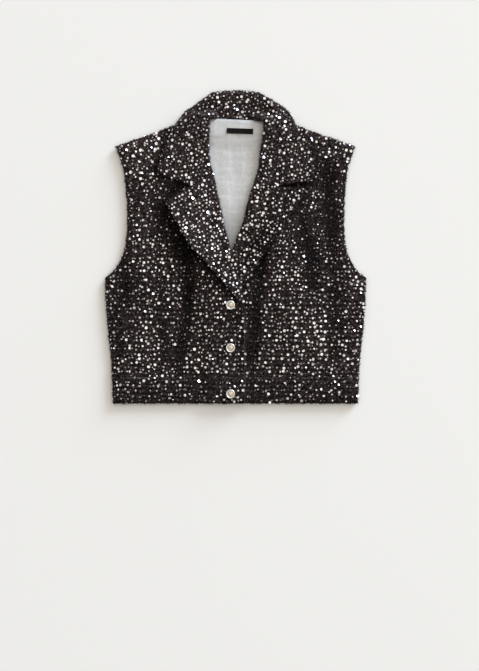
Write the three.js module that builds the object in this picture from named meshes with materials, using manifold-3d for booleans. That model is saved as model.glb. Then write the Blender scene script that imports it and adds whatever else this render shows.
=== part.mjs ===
// A cropped tweed gilet with a notched lapel collar, a waistband and three buttons, buttoned and laid flat on its
// back. Millimetres: +X to the right and +Y towards the collar as seen from above, +Z up, off the surface. The origin
// lies on the surface, at the middle of the garment. "Right" and "left" in the names are the wearer's, so the right
// front lies at -X and buttons over the left one.
import * as THREE from "three";
import { mergeVertices } from "three/addons/utils/BufferGeometryUtils.js";
import Module from "manifold-3d";

const wasm = await Module();
wasm.setup();

// Driving sizes
const HALF_CHEST = 222; // half the width between the underarm points
const HALF_HEM = 208;
const HEM_Y = -266; // the garment is 532 long, from hem to the fold of the collar
const COLLAR_TOP_Y = 266;
const BAND_HEIGHT = 45;
const WAIST_Y = HEM_Y + BAND_HEIGHT; // the seam over the waistband
const SHOULDER_TIP = [204, 171];
const NECK_POINT = [85, 214]; // where the shoulder seam meets the neck seam, under the collar
const NECK_SEAM_Y = 216.3; // middle of the back neck seam, which lies a little askew
const NECK_SEAM_TILT = -0.045;
const FRONT_EDGE_X = 17; // free edge of the right front, which laps over
const LEFT_EDGE_X = -33; // free edge of the left front, under it
const BUTTON_X = -8.5;
const BUTTON_YS = [-99, -171.5, -249.5];
const BUTTON_RADIUS = 7.65;

// Thicknesses and clearances
const CLOTH = 3;
const BAND_CLOTH = 3.6; // a doubled waistband is a little thicker
const COLLAR_CLOTH = 3.5;
const LINING = 1;
const SEAM = 0.3; // gap between two pieces that are sewn together
const REST = 0.8; // gap between curved layers that lie on each other
const FALL_CLOTH = 2.6; // the collar's fall, turned under behind the neck
const ROLL = 8; // width of the folded roll along the lapels and the collar
const LOFT = 3.6; // how far the fronts stand off the lining at most

const smooth = (v) => {
  const c = Math.min(Math.max(v, 0), 1);
  return c * c * (3 - 2 * c);
};
const mix = (a, b, k) => a + (b - a) * k;
const mirrored = (points) => points.map(([x, y]) => [-x, y]);
const shifted = (points, dx, dy = 0) => points.map(([x, y]) => [x + dx, y + dy]);

// One outline made of stretches, each a list of points. Two points make a straight stretch, more make a smooth one.
function outline(...stretches) {
  const path = new THREE.CurvePath();
  for (const points of stretches) {
    const at = points.map(([x, y]) => new THREE.Vector2(x, y));
    path.add(at.length === 2 ? new THREE.LineCurve(at[0], at[1]) : new THREE.SplineCurve(at));
  }
  return path;
}

// Outlines, each point as [x, y]
const UNDERARM = [HALF_CHEST, -53];
const WAIST_CORNER = [210, WAIST_Y];
const SIDE_SEAM = [WAIST_CORNER, [211.5, -190], [216, -148], [220, -100], UNDERARM];
const ARMHOLE = [UNDERARM, [208, -41], [196, -24], [188.5, -3], [184.8, 25], [184.5, 63], [186.5, 98], [190.5, 129],
  [197, 154], SHOULDER_TIP];
const SHOULDER = [SHOULDER_TIP, [170, 183], [135, 195], NECK_POINT];
const BREAK_RIGHT = [14.5, -94]; // where each lapel starts to turn back
const BREAK_LEFT = [-31, -96];
// The fold of each lapel, from the break up to the seam that joins the collar, which is the edge of the open neck
const ROLL_RIGHT = [BREAK_RIGHT, [4.5, -56], [-7.5, -8.5], [-19, 37], [-28.5, 82], [-38, 124]];
const ROLL_LEFT = [BREAK_LEFT, [-19, -50], [-5.5, -5], [10, 34], [20, 72], [29.8, 104.5], [37.8, 127]];
const LAPEL_RIGHT_EDGE = [[7.5, -92.5], [-12.8, -67], [-35, -43], [-60, -14.5], [-79, 6], [-101, 45], [-118, 76.5]];
const LAPEL_LEFT_EDGE = [[-24, -98], [12, -66], [35, -31], [49, -8.5], [62, 11], [76, 30], [101, 66], [119, 98]];
const NOTCH_RIGHT = [-75.5, 102];
const NOTCH_LEFT = [67, 102];
const LEAF_TIP_RIGHT = [-132.5, 125];
const LEAF_TIP_LEFT = [129, 113];

// Long soft troughs in the fronts, each along a line, and ridges with a depth below nothing
const FOLD_COLUMNS = ["x1", "y1", "x2", "y2", "halfWidth", "depth"];
const FOLDS = [
  [-77, 20, -80, -160, 9, 4.0], // right dart
  [-80, -145, -97, -214, 9, 2.2],
  [-187, -45, -182, -150, 10, 2.4], // beside the right underarm
  [-124, -120, -124, -192, 8, 1.6],
  [-150, 50, -150, -190, 15, -1.2],
  [-55, -60, -50, -190, 12, -0.8],
  [46, 12, 39, -110, 9, 4.2], // left dart
  [39, -90, 27, -216, 9, 2.8],
  [149, 150, 158, 50, 10, 2.2], // down from the left armhole
  [156, 85, 173, -80, 10, 3.0],
  [173, -55, 175, -165, 9, 2.0],
  [110, 105, 112, 8, 9, 1.2],
  [130, 8, 141, -84, 8, 2.2],
  [96, -20, 98, -190, 17, -1.2],
].map((row) => Object.fromEntries(FOLD_COLUMNS.map((name, i) => [name, row[i]])));

function troughs(x, y) {
  let sum = 0;
  for (const f of FOLDS) {
    const along = [f.x2 - f.x1, f.y2 - f.y1];
    const length = Math.hypot(...along);
    const share = ((x - f.x1) * along[0] + (y - f.y1) * along[1]) / length ** 2;
    const off = ((x - f.x1) * along[1] - (y - f.y1) * along[0]) / length;
    sum += f.depth * smooth(share / 0.3) * smooth((1 - share) / 0.3) * Math.exp(-((off / f.halfWidth) ** 2));
  }
  return sum;
}

// Distance from the flat outline of the body, which is the same for fronts and back
const BODY_EDGE = [
  outline(SIDE_SEAM, ARMHOLE, SHOULDER).getPoints(5),
  outline([[HALF_HEM, HEM_Y], WAIST_CORNER]).getPoints(1),
];
function fromEdge(x, y) {
  let nearest = y - HEM_Y;
  for (const points of BODY_EDGE)
    for (let i = 1; i < points.length; i++) {
      const [a, b] = [points[i - 1], points[i]];
      const [dx, dy] = [b.x - a.x, b.y - a.y];
      const share = Math.min(Math.max(((Math.abs(x) - a.x) * dx + (y - a.y) * dy) / (dx * dx + dy * dy), 0), 1);
      nearest = Math.min(nearest, Math.hypot(Math.abs(x) - a.x - dx * share, y - a.y - dy * share));
    }
  return Math.max(nearest, 0);
}

// Levels of the layers, from the surface up

// The back rises over the turned-under fall of the collar.
const FALL_HALF = 102;
const fallEdgeY = (x) => 196 + 13 * Math.min(Math.abs(x) / FALL_HALF, 1) ** 2;
const lift = (x, y) => (FALL_CLOTH + SEAM) * smooth((y - fallEdgeY(x) + 30) / 26) * smooth((147 - Math.abs(x)) / 37);
const backTop = (x, y) => lift(x, y) + CLOTH;
const liningTop = (x, y) => backTop(x, y) + SEAM + LINING;

// The underside of a front: on the back's own edge at the side seams, and lofted over the lining between them.
function frontBase(x, y) {
  const inset = fromEdge(x, y);
  const placket = smooth((Math.abs(x - BUTTON_X) - 14) / 26) * 0.75 + 0.25; // stacked layers press it down
  const loft = LOFT * (1 - Math.exp(-inset / 26)) * placket - troughs(x, y) * smooth(inset / 14);
  const eased = (loft + Math.sqrt(loft * loft + 0.6)) / 2;
  return liningTop(x, y) + SEAM + eased * smooth(inset / 10);
}

// The right front climbs over the left front's edge, and higher over the left lapel.
const leftEdgeX = (y) => {
  if (y <= BREAK_LEFT[1]) return LEFT_EDGE_X;
  const path = ROLL_LEFT.findIndex((p) => p[1] > y);
  if (path < 0) return ROLL_LEFT.at(-1)[0];
  const [a, b] = [ROLL_LEFT[path - 1], ROLL_LEFT[path]];
  return mix(a[0], b[0], (y - a[1]) / (b[1] - a[1]));
};
const LAP_STEP = BAND_CLOTH + REST;
const LAP_RAMP = 30; // how far before the hidden edge the cloth starts to rise
const lapSteps = (x, y) => {
  const over = smooth((x - leftEdgeX(y) + LAP_RAMP) / (LAP_RAMP - 3)) * smooth((70 - y) / 50);
  return over * LAP_STEP * (1 + smooth((y - BREAK_LEFT[1] + LAP_RAMP) / (LAP_RAMP - 4)));
};
const rightBase = (x, y) => frontBase(x, y) + lapSteps(x, y);

// The free edge of each lapel stands off its front, most where the roll is softest: [share from the break up, rise].
const RISE_RIGHT = [[0, 0.4], [0.22, 5], [0.45, 13], [0.62, 17], [0.82, 11], [1, 3.5]];
const RISE_LEFT = [[0, 0], [0.3, 1.2], [0.55, 4.5], [0.8, 3.5], [1, 1]];
function riseAt(table, share) {
  const i = Math.max(table.findIndex((row) => row[0] >= share), 1);
  const [a, b] = [table[i - 1], table[i]];
  return mix(a[1], b[1], smooth((share - a[0]) / (b[0] - a[0])));
}

// The collar: leaves on the fronts, and behind the neck a stand that lies back and folds under itself.
const neckY = (x) => NECK_SEAM_Y + NECK_SEAM_TILT * x;
const bodyTopY = (x) => {
  const [tip, neck] = [SHOULDER_TIP, NECK_POINT];
  const slope = (neck[1] - tip[1]) / (tip[0] - neck[0]);
  return Math.min(neckY(x), tip[1] + (tip[0] - Math.abs(x)) * slope + 1);
};
const leafness = (x, y) => smooth((Math.abs(x) - 27) / 17) * smooth((bodyTopY(x) + 17 - y) / 15);
const BAND_BASE = FALL_CLOTH + SEAM;
const STAND_REST = 0.8;

// across and along give the number of cells of a grid and, for each end, extra lines at set distances from the edge.
function sharesOf(length, { cells, low = [], high = [] }) {
  const room = 0.45 * length;
  const fit = (list) => list.map((d) => (d * Math.min(1, room / Math.max(...list, 1e-9))) / length);
  const [a, b] = [fit(low), fit(high)];
  const [first, last] = [a.at(-1) ?? 0, 1 - (b.at(-1) ?? 0)];
  const middle = Array.from({ length: cells + 1 }, (_, i) => mix(first, last, i / cells));
  return [...(a.length ? [0, ...a.slice(0, -1)] : []), ...middle, ...(b.length ? [...b.slice(0, -1)].reverse()
    .map((d) => 1 - d).concat(1) : [])];
}

function coons({ left, right, bottom, top }) {
  const [bl, br, tl, tr] = [left.getPoint(0), right.getPoint(0), left.getPoint(1), right.getPoint(1)];
  const blend = (s, t, l, r, b, u, k) =>
    (1 - t) * l[k] + t * r[k] + (1 - s) * b[k] + s * u[k] -
    ((1 - s) * (1 - t) * bl[k] + (1 - s) * t * br[k] + s * (1 - t) * tl[k] + s * t * tr[k]);
  return (s, t) => {
    const [l, r, b, u] = [left.getPoint(s), right.getPoint(s), bottom.getPoint(t), top.getPoint(t)];
    return [blend(s, t, l, r, b, u, "x"), blend(s, t, l, r, b, u, "y")];
  };
}

const distance = (a, b) => Math.hypot(a[0] - b[0], a[1] - b[1]);
const EDGE_FLAT = 0.25; // share of the thickness left at the very edge of a rounded side

// One wall of cloth over a patch. edges gives, for each side, how far its rounding reaches in.
// worn is the share of the rounding that is taken from the upper face; the rest is taken from the lower one.
function wallRows(patchSides, { across, along, edges = {}, worn = 0.5 }, heights) {
  const at = coons(patchSides);
  const height = patchSides.left.getLength();
  return sharesOf(height, along).map((s) => {
    const width = distance(at(s, 0), at(s, 0.5)) + distance(at(s, 0.5), at(s, 1));
    return sharesOf(width, across).map((t) => {
      const p = at(s, t);
      const from = { left: distance(p, at(s, 0)), right: distance(p, at(s, 1)), bottom: distance(p, at(0, t)),
        top: distance(p, at(1, t)) };
      const { base, top } = heights(p[0], p[1], from, s, t);
      let pinch = 0;
      for (const [side, reach] of Object.entries(edges))
        pinch = Math.max(pinch, 1 - Math.sqrt(1 - (1 - Math.min(from[side] / reach, 1)) ** 2));
      const taken = (top - base) * pinch * (1 - EDGE_FLAT);
      return { upper: [p[0], p[1], top - taken * worn], lower: [p[0], p[1], base + taken * (1 - worn)] };
    });
  });
}
const wall = (sides, grid, heights) => closed(wallRows(sides, grid, heights));

// Joins a grid of upper and lower points into one closed surface with its faces outwards.
function closed(rows) {
  const [n, m] = [rows.length, rows[0].length];
  const positions = rows.flat().flatMap((c) => [...c.upper, ...c.lower]);
  const id = (i, j, lower) => 2 * (i * m + j) + lower;
  const faces = [];
  const quad = (a, b, c, d) => faces.push(a, b, c, a, c, d);
  for (let i = 0; i < n - 1; i++)
    for (let j = 0; j < m - 1; j++) {
      quad(id(i, j, 0), id(i, j + 1, 0), id(i + 1, j + 1, 0), id(i + 1, j, 0));
      quad(id(i, j, 1), id(i + 1, j, 1), id(i + 1, j + 1, 1), id(i, j + 1, 1));
    }
  for (let i = 0; i < n - 1; i++) {
    quad(id(i, 0, 1), id(i, 0, 0), id(i + 1, 0, 0), id(i + 1, 0, 1));
    quad(id(i, m - 1, 0), id(i, m - 1, 1), id(i + 1, m - 1, 1), id(i + 1, m - 1, 0));
  }
  for (let j = 0; j < m - 1; j++) {
    quad(id(0, j, 0), id(0, j, 1), id(0, j + 1, 1), id(0, j + 1, 0));
    quad(id(n - 1, j, 1), id(n - 1, j, 0), id(n - 1, j + 1, 0), id(n - 1, j + 1, 1));
  }
  const [a, b, c] = [rows[0][0].upper, rows[0][m - 1].upper, rows[n - 1][0].upper];
  const turn = (b[0] - a[0]) * (c[1] - a[1]) - (b[1] - a[1]) * (c[0] - a[0]);
  if (turn < 0) for (let k = 0; k < faces.length; k += 3) [faces[k + 1], faces[k + 2]] = [faces[k + 2], faces[k + 1]];
  const geometry = new THREE.BufferGeometry();
  geometry.setAttribute("position", new THREE.Float32BufferAttribute(positions, 3));
  geometry.setIndex(faces);
  return geometry;
}

// Joins several closed surfaces into one.
function joined(...geometries) {
  const solids = geometries.map((g) => {
    const merged = mergeVertices(g, 1e-4);
    return new wasm.Manifold(new wasm.Mesh({
      numProp: 3,
      vertProperties: merged.attributes.position.array,
      triVerts: new Uint32Array(merged.index.array),
    }));
  });
  const mesh = solids.reduce((a, b) => a.add(b)).getMesh();
  const geometry = new THREE.BufferGeometry();
  geometry.setAttribute("position", new THREE.BufferAttribute(mesh.vertProperties, 3));
  geometry.setIndex(new THREE.BufferAttribute(mesh.triVerts, 1));
  return geometry;
}

const tweed = new THREE.MeshStandardMaterial({ color: 0x1d191a, roughness: 0.95, metalness: 0 });
const greyLining = new THREE.MeshStandardMaterial({ color: 0xb9b9bb, roughness: 0.7, metalness: 0 });
const satinLabel = new THREE.MeshStandardMaterial({ color: 0x131111, roughness: 0.6, metalness: 0 });
const silver = new THREE.MeshStandardMaterial({ color: 0xc9c5bf, roughness: 0.3, metalness: 0.9 });

const EDGE = 3.6; // how far the rounding of a free edge reaches in
const SEAM_EDGE = 1.2;
const EDGE_LINES = [1.2, EDGE];

// The back and its lining share one grid, so the lining lies on the back's own points.
const NECK_CORNERS = [[-52, -4], [-29, -0.8], [29, -0.8], [52, -4]]; // x, and how far below the neck seam
function backRows() {
  const neck = NECK_CORNERS.map(([x, below]) => [x, neckY(x) + below]);
  const sides = {
    left: outline(shifted(mirrored(SIDE_SEAM), 0, SEAM), shifted(mirrored(ARMHOLE), 0, SEAM)),
    right: outline(shifted(SIDE_SEAM, 0, SEAM), shifted(ARMHOLE, 0, SEAM)),
    bottom: outline([[-WAIST_CORNER[0], WAIST_Y + SEAM / 2], [WAIST_CORNER[0], WAIST_Y + SEAM / 2]]),
    top: outline(mirrored(SHOULDER), [mirrored([NECK_POINT])[0], neck[0]], [neck[0], neck[1]], [neck[1], neck[2]],
      [neck[2], neck[3]], [neck[3], NECK_POINT], [...SHOULDER].reverse()),
  };
  const along = { cells: 11, high: [1.2, EDGE, 10, 20, 32, 46] };
  const grid = { across: { cells: 18, low: EDGE_LINES, high: EDGE_LINES }, along };
  return wallRows(sides, { ...grid, edges: { left: EDGE, right: EDGE, top: EDGE }, worn: 0 }, (x, y) => ({
    base: lift(x, y),
    top: backTop(x, y),
  }));
}

function backLining() {
  const raised = (p, by) => [p[0], p[1], p[2] + by];
  return closed(backRows().map((row) => row.slice(1, -1).map(({ upper }) => ({
    lower: raised(upper, SEAM),
    upper: raised(upper, SEAM + LINING),
  }))));
}

// Both fronts run from the waist seam up to the shoulder. Their inner side ends at the lapel's roll and, under the
// collar, at the neck seam.
const FRONT_GRID = {
  across: { cells: 19, low: EDGE_LINES, high: EDGE_LINES },
  along: { cells: 18, low: [2], high: [1.2, EDGE, 10, 20, 32, 46] },
};

function rightFront() {
  const waist = WAIST_Y + SEAM / 2;
  const underRoll = shifted(ROLL_RIGHT.slice(1), -ROLL - 1.2);
  const sides = {
    left: outline([[-WAIST_CORNER[0], waist], ...mirrored(SIDE_SEAM).slice(1)], mirrored(ARMHOLE)),
    right: outline(
      [[FRONT_EDGE_X, waist], [FRONT_EDGE_X, -116]],
      [[FRONT_EDGE_X, -116], [FRONT_EDGE_X - 1, -104], [5, -96], [-1, -82], ...underRoll.slice(0, 1)],
      underRoll,
      [underRoll.at(-1), [-64, 158], [-77, 188], mirrored([NECK_POINT])[0]],
    ),
    bottom: outline([[-WAIST_CORNER[0], waist], [FRONT_EDGE_X, waist]]),
    top: outline(mirrored(SHOULDER)),
  };
  return wall(sides, { ...FRONT_GRID, worn: 0.9, edges: { left: EDGE, right: 2, top: EDGE, bottom: SEAM_EDGE } }, (x, y) => ({
    base: rightBase(x, y),
    top: rightBase(x, y) + CLOTH,
  }));
}

function leftFront() {
  const waist = WAIST_Y + SEAM / 2;
  const underRoll = shifted(ROLL_LEFT, ROLL + 1.2);
  const sides = {
    left: outline(
      [[LEFT_EDGE_X, waist], [LEFT_EDGE_X, -112]],
      [[LEFT_EDGE_X, -112], [-28, -103], underRoll[0]],
      underRoll,
      [underRoll.at(-1), [62, 160], [77, 190], NECK_POINT],
    ),
    right: outline([[WAIST_CORNER[0], waist], ...SIDE_SEAM.slice(1)], ARMHOLE),
    bottom: outline([[LEFT_EDGE_X, waist], [WAIST_CORNER[0], waist]]),
    top: outline([...SHOULDER].reverse()),
  };
  return wall(sides, { ...FRONT_GRID, worn: 0.9, edges: { left: 2, right: EDGE, top: EDGE, bottom: SEAM_EDGE } }, (x, y) => ({
    base: frontBase(x, y),
    top: frontBase(x, y) + CLOTH,
  }));
}

// A lapel lies on its front as the cloth turned back along the roll. Beside the roll it is doubled.
const ROLL_LINES = [1.2, 3.6, ROLL - 2, ROLL - 0.4];
function lapel(sides, rollSide, base, rises) {
  const free = rollSide === "right" ? "left" : "right";
  const across = { cells: 7, low: EDGE_LINES, high: EDGE_LINES };
  across[rollSide === "right" ? "high" : "low"] = ROLL_LINES;
  const grid = { across, along: { cells: 17, low: [2], high: EDGE_LINES } };
  return wall(sides, { ...grid, edges: { [free]: EDGE, [rollSide]: 6, top: 2.4, bottom: 2.4 } }, (x, y, from, s) => {
    const width = from.left + from.right;
    const rise = riseAt(rises, s) * (from[rollSide] / width) ** 1.4;
    const under = base(x, y) + CLOTH + REST + rise;
    const narrow = Math.min(1, (0.45 * width) / (ROLL - 0.4));
    const doubled = 1 - smooth((from[rollSide] - (ROLL - 2) * narrow) / (1.6 * narrow));
    return { base: mix(under, base(x, y), doubled), top: under + CLOTH };
  });
}

const rightLapel = () => lapel({
  left: outline(LAPEL_RIGHT_EDGE),
  right: outline(ROLL_RIGHT),
  bottom: outline([LAPEL_RIGHT_EDGE[0], ROLL_RIGHT[0]]),
  top: outline([LAPEL_RIGHT_EDGE.at(-1), NOTCH_RIGHT], [NOTCH_RIGHT, ROLL_RIGHT.at(-1)]),
}, "right", rightBase, RISE_RIGHT);

const leftLapel = () => lapel({
  left: outline(ROLL_LEFT),
  right: outline(LAPEL_LEFT_EDGE),
  bottom: outline([ROLL_LEFT[0], LAPEL_LEFT_EDGE[0]]),
  top: outline([ROLL_LEFT.at(-1), NOTCH_LEFT], [NOTCH_LEFT, LAPEL_LEFT_EDGE.at(-1)]),
}, "left", frontBase, RISE_LEFT);

// The collar's inner side is the edge of the open neck, and its outer side the edge of the leaves and the back fold.
const GORGE = 0.6; // gap between the collar and the lapels along their seam
const COLLAR_INNER = [
  shifted([[-38, 124], [-43.4, 148], [-44.5, 183], [-45, 207]], 0, GORGE),
  [[-45, 207], [-45.5, 215], [-42, neckY(-42)]],
  [[-42, neckY(-42)], [46, neckY(46)]],
  [[46, neckY(46)], [50, 211], [48.5, 203]],
  shifted([[48.5, 203], [45, 182], [41.4, 155], [37.8, 127]], 0, GORGE),
];
const LEAF_RIGHT = [LEAF_TIP_RIGHT, [-127.5, 142], [-118, 173], [-108, 197], [-95, 215], [-81, 229], [-68, 241.5]];
const BACK_FOLD = [[-68, 241.5], [-54, 252.5], [-40, 262], [-22, 265.2], [0, COLLAR_TOP_Y], [24, 265.2], [42, 262],
  [55, 254.5], [66, 247]];
const LEAF_LEFT = [[66, 247], [78, 235], [93, 218], [107, 200], [119, 178], [129, 152], [132, 128], LEAF_TIP_LEFT];

function collar() {
  const gorgeRight = [[-38, 124 + GORGE], [NOTCH_RIGHT[0], NOTCH_RIGHT[1] + 3]];
  const gorgeLeft = [[37.8, 127 + GORGE], [NOTCH_LEFT[0] + 0.6, NOTCH_LEFT[1] + 2]];
  const sides = {
    left: outline(...COLLAR_INNER),
    right: outline(LEAF_RIGHT, BACK_FOLD, LEAF_LEFT),
    bottom: outline(gorgeRight, [gorgeRight[1], LEAF_TIP_RIGHT]),
    top: outline(gorgeLeft, [gorgeLeft[1], LEAF_TIP_LEFT]),
  };
  const grid = { across: { cells: 6, low: [1.2, 3.6, ROLL - 2, ROLL], high: EDGE_LINES },
    along: { cells: 44, low: EDGE_LINES, high: EDGE_LINES } };
  const sheet = wall(sides, { ...grid, edges: { left: 5, right: EDGE, bottom: 2.4, top: 2.4 } }, (x, y, d) => {
    const leaf = leafness(x, y);
    const body = Math.min(y, bodyTopY(x) - 2);
    const front = (x < 0 ? rightBase : frontBase)(x, body) + CLOTH + REST;
    const puff = 2.2 * Math.exp(-(((d.right - 9) / 9) ** 2)) * (1 - leaf);
    const under = mix(BAND_BASE, front, leaf);
    const top = under + COLLAR_CLOTH + puff;
    const innerRoll = leaf * (1 - smooth((d.left - ROLL + 2) / 1.6));
    const backRoll = (1 - smooth((d.right - ROLL) / 2)) * smooth((80 - Math.abs(x)) / 10) * (1 - leaf);
    return { base: mix(mix(under, Math.min(liningTop(x, body) + STAND_REST, under), innerRoll), 0.4, backRoll), top };
  });
  return joined(sheet, turnedFall(), stand(-1), stand(1));
}

// The fall behind the neck, which lies under the back and is folded along the back fold.
function turnedFall() {
  const reach = [[-FALL_HALF, 210], [-94, 221], [-87, 230], [-80, 235.5], [-67, 244], [-53.5, 252.5], [-40, 262],
    [-22, 265.2], [0, COLLAR_TOP_Y], [24, 265.2], [42, 262], [55, 254.5], [69, 246.5], [81, 239], [91, 230],
    [96, 221], [FALL_HALF, 210]];
  const under = [-FALL_HALF, -60, 0, 60, FALL_HALF].map((x) => [x, fallEdgeY(x) - 1]);
  const sides = {
    left: outline([under[0], reach[0]]),
    right: outline([under.at(-1), reach.at(-1)]),
    bottom: outline(under),
    top: outline(reach),
  };
  const grid = { across: { cells: 20 }, along: { cells: 3, low: [2], high: [2] } };
  return wall(sides, { ...grid, worn: 0.8, edges: { bottom: 2, top: 2 } }, () => ({ base: 0, top: FALL_CLOTH }));
}

// The part of the stand that lies hidden under each leaf, from the roll to the neck seam.
function stand(hand) {
  const seam = [[50, 130.5], [62, 158], [74, 188], [82, 211]];
  const roll = hand < 0 ? [[41, 132], [46, 160], [47.5, 190], [50, 211]] : [[41, 132], [44.5, 160], [48.5, 188], [53, 211]];
  const side = (points) => outline(points.map(([x, y]) => [x * hand, y]));
  const sides = {
    left: side(roll),
    right: side(seam.map(([x, y]) => [x - 1.5, y])),
    bottom: side([roll[0], [seam[0][0] - 1.5, seam[0][1]]]),
    top: side([roll.at(-1), [seam.at(-1)[0] - 1.5, seam.at(-1)[1]]]),
  };
  return wall(sides, { across: { cells: 3 }, along: { cells: 8 } }, (x, y) => ({
    base: liningTop(x, y) + STAND_REST,
    top: liningTop(x, y) + STAND_REST + CLOTH - 0.4,
  }));
}

// The waistband is doubled cloth. Its fronts lie on its back and lap like the fronts above them.
const BAND_LIFT = BAND_CLOTH - CLOTH;
function bandSides(x1, x2, waist1 = x1, waist2 = x2) {
  const waist = WAIST_Y - SEAM / 2;
  return {
    left: outline([[x1, HEM_Y], [waist1, waist]]),
    right: outline([[x2, HEM_Y], [waist2, waist]]),
    bottom: outline([[x1, HEM_Y], [x2, HEM_Y]]),
    top: outline([[waist1, waist], [waist2, waist]]),
  };
}
const BAND_ALONG = { cells: 3, low: [1.2, EDGE], high: [1.6] };

const backBand = () => wall(
  bandSides(-HALF_HEM, HALF_HEM, -WAIST_CORNER[0], WAIST_CORNER[0]),
  { across: { cells: 12, low: EDGE_LINES, high: EDGE_LINES }, along: BAND_ALONG, worn: 0.2,
    edges: { left: EDGE, right: EDGE, bottom: EDGE, top: 1.6 } },
  () => ({ base: 0, top: BAND_CLOTH }),
);

const frontBand = (sides, base) => wall(
  sides,
  { across: { cells: 19, low: EDGE_LINES, high: EDGE_LINES }, along: BAND_ALONG, worn: 0.9,
    edges: { left: EDGE, right: EDGE, bottom: EDGE, top: 1.6 } },
  (x, y) => ({ base: base(x, y) + BAND_LIFT, top: base(x, y) + BAND_LIFT + BAND_CLOTH }),
);

// A round metal button on a shank, with a raised rim round a low dome.
function button(y) {
  const top = rightBase(BUTTON_X, y) + (y < WAIST_Y ? BAND_LIFT + BAND_CLOTH : CLOTH) + SEAM;
  const profile = [[0, 0], [2.4, 0], [2.4, 1.6], [6.6, 1.8], [BUTTON_RADIUS, 2.6], [BUTTON_RADIUS, 3.5], [7, 4.3],
    [6, 4.4], [5.2, 3.6], [4.4, 3.5], [3.4, 4.2], [1.8, 4.7], [0, 4.8]];
  const geometry = new THREE.LatheGeometry(profile.map(([r, z]) => new THREE.Vector2(r, z)), 20);
  const turned = new THREE.Mesh(geometry, silver);
  turned.rotation.x = Math.PI / 2;
  turned.position.set(BUTTON_X, y, top);
  return turned;
}

function neckLabel() {
  const [width, height, tilt, x0, y0] = [45, 9.2, -0.035, 7.5, 197];
  const corner = (u, v) => [
    x0 + (u * width * Math.cos(tilt) - v * height * Math.sin(tilt)) / 2,
    y0 + (u * width * Math.sin(tilt) + v * height * Math.cos(tilt)) / 2,
  ];
  const sides = {
    left: outline([corner(-1, -1), corner(-1, 1)]),
    right: outline([corner(1, -1), corner(1, 1)]),
    bottom: outline([corner(-1, -1), corner(1, -1)]),
    top: outline([corner(-1, 1), corner(1, 1)]),
  };
  return wall(sides, { across: { cells: 6 }, along: { cells: 6 } }, (x, y) => ({
    base: liningTop(x, y) + SEAM,
    top: liningTop(x, y) + SEAM + 0.6,
  }));
}

const gilet = new THREE.Group();
function add(name, geometry, material) {
  const mesh = new THREE.Mesh(geometry, material);
  mesh.name = name;
  gilet.add(mesh);
}

add("back", closed(backRows()), tweed);
add("back_lining", backLining(), greyLining);
add("neck_label", neckLabel(), satinLabel);
add("left_front", leftFront(), tweed);
add("right_front", rightFront(), tweed);
add("left_lapel", leftLapel(), tweed);
add("right_lapel", rightLapel(), tweed);
add("collar", collar(), tweed);
add("waistband_back", backBand(), tweed);
add("waistband_left", frontBand(bandSides(LEFT_EDGE_X, HALF_HEM, LEFT_EDGE_X, WAIST_CORNER[0]), frontBase), tweed);
add("waistband_right", frontBand(bandSides(-HALF_HEM, FRONT_EDGE_X, -WAIST_CORNER[0], FRONT_EDGE_X), rightBase), tweed);
BUTTON_YS.forEach((y, i) => {
  const mesh = button(y);
  mesh.name = `button_${i + 1}`;
  gilet.add(mesh);
});

export default gilet;
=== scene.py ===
"""Looks of a cropped tweed gilet, buttoned and laid flat: black boucle cloth with silver sequins, a grey
lining, metal buttons, and the pale surface that it lies on. Sizes are in millimetres until a mesh is made."""

import math

import bpy
import numpy as np
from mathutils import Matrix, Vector
from mathutils.bvhtree import BVHTree
from mathutils.kdtree import KDTree


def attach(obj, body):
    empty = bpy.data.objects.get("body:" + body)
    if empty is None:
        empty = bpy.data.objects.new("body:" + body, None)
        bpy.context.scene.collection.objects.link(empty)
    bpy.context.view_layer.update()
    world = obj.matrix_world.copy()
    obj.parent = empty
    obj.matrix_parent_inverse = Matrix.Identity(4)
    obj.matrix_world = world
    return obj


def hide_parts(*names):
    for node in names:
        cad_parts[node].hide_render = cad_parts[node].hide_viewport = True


bl_info = {
    "name": "Tweed gilet",
    "version": (1, 0, 0),
    "blender": (4, 5, 0),
    "location": "3D View > Sidebar > Gilet",
    "description": "Builds the cloth, sequins, sewing and buttons of a tweed gilet, and its stage",
    "category": "Object",
}

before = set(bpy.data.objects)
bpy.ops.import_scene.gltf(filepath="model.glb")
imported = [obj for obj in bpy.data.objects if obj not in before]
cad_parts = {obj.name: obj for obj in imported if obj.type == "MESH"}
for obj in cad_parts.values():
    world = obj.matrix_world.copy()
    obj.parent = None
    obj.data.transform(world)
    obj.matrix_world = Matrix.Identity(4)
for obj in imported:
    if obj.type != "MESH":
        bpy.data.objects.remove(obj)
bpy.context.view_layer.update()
BODY = "root"
MM = 0.001


# Sizes of the garment, laid flat, with +Y towards the collar
HALF_CHEST = 222
HALF_HEM = 208
HEM_Y = -266
BAND_HEIGHT = 45
WAIST_Y = HEM_Y + BAND_HEIGHT
COLLAR_TOP_Y = 266
SHOULDER_TIP = (204, 171)
NECK_POINT = (85, 214)
NECK_SEAM_Y = 216.3
NECK_SEAM_TILT = -0.045
FRONT_EDGE_X = 17
LEFT_EDGE_X = -33
BUTTON_X = -8.5
BUTTON_YS = (-99, -171.5, -249.5)

# Thicknesses and clearances
CLOTH = 3
BAND_CLOTH = 3.6
COLLAR_CLOTH = 3.5
LINING = 1
SEAM = 0.3
REST = 0.8
FALL_CLOTH = 2.6
ROLL = 8
LOFT = 3.6
STAND_REST = 0.8
STAND_TOP = STAND_REST + CLOTH - 0.4
LAP_STEP = BAND_CLOTH + REST
LAP_RAMP = 30
BAND_LIFT = BAND_CLOTH - CLOTH
BAND_BASE = FALL_CLOTH + SEAM
EDGE = 3.6
EDGE_FLAT = 0.25
GORGE = 0.6


def smooth(v):
    c = np.clip(v, 0, 1)
    return c * c * (3 - 2 * c)


def mix(a, b, k):
    return a + (b - a) * k


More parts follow.
